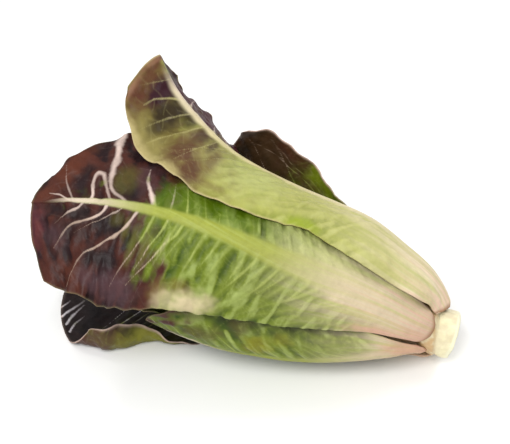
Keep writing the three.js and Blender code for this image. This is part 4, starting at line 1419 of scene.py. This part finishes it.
class LettuceColours(bpy.types.PropertyGroup):
    foot: colour_setting("Foot", "Cream flesh at the foot of a leaf", shade(202, 185, 155))
    pink: colour_setting("Pink", "Streaks in the foot", shade(214, 164, 150))
    green: colour_setting("Green", "Leaf green", shade(103, 118, 30))
    # Dark green is the painted shade in the hollows and the tint of the inner faces; light green is the
    # painted highlight on the puckers.
    dark_green: colour_setting("Dark green", "Green in the hollows", shade(52, 72, 4))
    light_green: colour_setting("Light green", "Green on the puckers", shade(170, 184, 108))
    rib: colour_setting("Rib", "Midrib beyond the foot", shade(146, 152, 60))
    vein: colour_setting("Vein", "Veins in the green", shade(168, 178, 96))
    red: colour_setting("Red", "Red of the tip", shade(60, 28, 21))
    # Dark red and bright red are the painted shade in the hollows and the painted highlight on the puckers of
    # the red tip.
    dark_red: colour_setting("Dark red", "Red in the hollows", shade(32, 13, 15))
    bright_red: colour_setting("Bright red", "Red on the puckers", shade(90, 44, 32))
    # Veins in the red also carry the painted highlight strokes; on the floor leaf they are painted near white
    # as painted reflections.
    red_vein_and_glint: colour_setting("Vein in the red", "Veins in the red tip", shade(220, 198, 186))
    margin: colour_setting("Margin", "Thin edge of a leaf", shade(190, 176, 130))
    flesh: colour_setting("Butt", "Flesh of the trimmed butt", shade(204, 192, 158))


class LETTUCE_OT_butt(bpy.types.Operator):
    """Build the knife-trimmed butt"""

    bl_idname = "lettuce.butt"
    bl_label = "Butt"

    def execute(self, context):
        scene = context.scene
        piece = shape_stem(scene.lettuce_sizes)
        tones = {
            "flesh": tuple(scene.lettuce_colours.flesh),
            "pale_flesh": shade(228, 220, 182),
            "fibre": shade(206, 196, 140),
            "cut": shade(226, 222, 190),
            "ring": shade(186, 184, 140),
            "scar": shade(168, 122, 62),
        }
        piece.data.materials.append(stem_finish("butt_flesh", tones))
        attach(piece, "root")
        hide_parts("stem")
        return {"FINISHED"}


class LETTUCE_OT_outer_leaves(bpy.types.Operator):
    """Build the five large outer leaves"""

    bl_idname = "lettuce.outer_leaves"
    bl_label = "Outer leaves"

    def execute(self, context):
        scene = context.scene
        tones = tone_sets(scene.lettuce_colours)
        for i, leaf in enumerate(OUTER_LEAVES):
            piece = shape_leaf(leaf, scene.lettuce_sizes, OUTER_SEED + i)
            skin = leaf_finish(leaf["piece"] + "_skin", tones[leaf["tones"]], leaf.get("layers", ()))
            piece.data.materials.append(skin)
        return {"FINISHED"}


class LETTUCE_OT_heart_leaves(bpy.types.Operator):
    """Build the inner leaves, one after the other towards the heart"""

    bl_idname = "lettuce.heart_leaves"
    bl_label = "Heart leaves"

    def execute(self, context):
        scene = context.scene
        tones = tone_sets(scene.lettuce_colours)
        inner_skin = leaf_finish("inner_leaf_skin", tones["green_leaf"], INNER_LOOK["layers"])
        heart_skin = leaf_finish("heart_leaf_skin", tones["heart_leaf"], ())
        for number in range(INNER_LEAF_COUNT):
            is_green = number < GREEN_INNER_LEAVES
            leaf = {**inner_leaf(number), **(INNER_LOOK if is_green else HEART_LOOK)}
            piece = shape_leaf(leaf, scene.lettuce_sizes, INNER_SEED + number)
            piece.data.materials.append(inner_skin if is_green else heart_skin)
        return {"FINISHED"}


class LETTUCE_OT_stage(bpy.types.Operator):
    """Set up the pale floor, the soft lamps and the camera"""

    bl_idname = "lettuce.stage"
    bl_label = "Stage"

    def execute(self, context):
        bpy.ops.object.select_all(action="DESELECT")
        bpy.ops.mesh.primitive_plane_add(size=FLOOR_WIDTH, location=(0, 0, -FLOOR_DROP))
        floor = context.object
        floor.name = "studio_floor"
        floor.data.materials.append(floor_finish("studio_floor"))
        bpy.ops.object.transform_apply(location=True, rotation=True, scale=True)

        world = bpy.data.worlds.new("studio")
        world.use_nodes = True
        sky = world.node_tree.nodes["Background"].inputs
        sky["Color"].default_value = (1.0, 1.0, 1.0, 1.0)
        sky["Strength"].default_value = SKY_STRENGTH
        context.scene.world = world
        for lamp in LAMPS:
            add_lamp(*lamp)

        bpy.ops.object.camera_add(location=CAMERA_AT)
        camera = context.object
        camera.name = "view_camera"
        camera.data.lens = CAMERA_LENS
        camera.data.sensor_width = CAMERA_SENSOR
        turn_to(camera, CAMERA_AIM)
        context.scene.camera = camera
        context.scene.view_settings.view_transform = "Standard"
        return {"FINISHED"}


class LETTUCE_PT_panel(bpy.types.Panel):
    """Lists the steps that dress the head"""

    bl_label = "Lettuce"
    bl_idname = "LETTUCE_PT_panel"
    bl_space_type = "VIEW_3D"
    bl_region_type = "UI"
    bl_category = "Lettuce"

    def draw(self, context):
        layout = self.layout
        for operator in OPERATORS:
            layout.operator(operator.bl_idname)
        for group in (context.scene.lettuce_sizes, context.scene.lettuce_colours):
            for name in group.__annotations__:
                layout.prop(group, name)


OPERATORS = (LETTUCE_OT_butt, LETTUCE_OT_outer_leaves, LETTUCE_OT_heart_leaves, LETTUCE_OT_stage)
CLASSES = (LettuceSizes, LettuceColours, *OPERATORS, LETTUCE_PT_panel)


def register():
    for group in CLASSES:
        bpy.utils.register_class(group)
    bpy.types.Scene.lettuce_sizes = bpy.props.PointerProperty(type=LettuceSizes)
    bpy.types.Scene.lettuce_colours = bpy.props.PointerProperty(type=LettuceColours)


def unregister():
    del bpy.types.Scene.lettuce_colours
    del bpy.types.Scene.lettuce_sizes
    for group in reversed(CLASSES):
        bpy.utils.unregister_class(group)


def main():
    register()
    bpy.ops.lettuce.butt()
    bpy.ops.lettuce.outer_leaves()
    bpy.ops.lettuce.heart_leaves()
    bpy.ops.lettuce.stage()


if __name__ == "__main__":
    main()
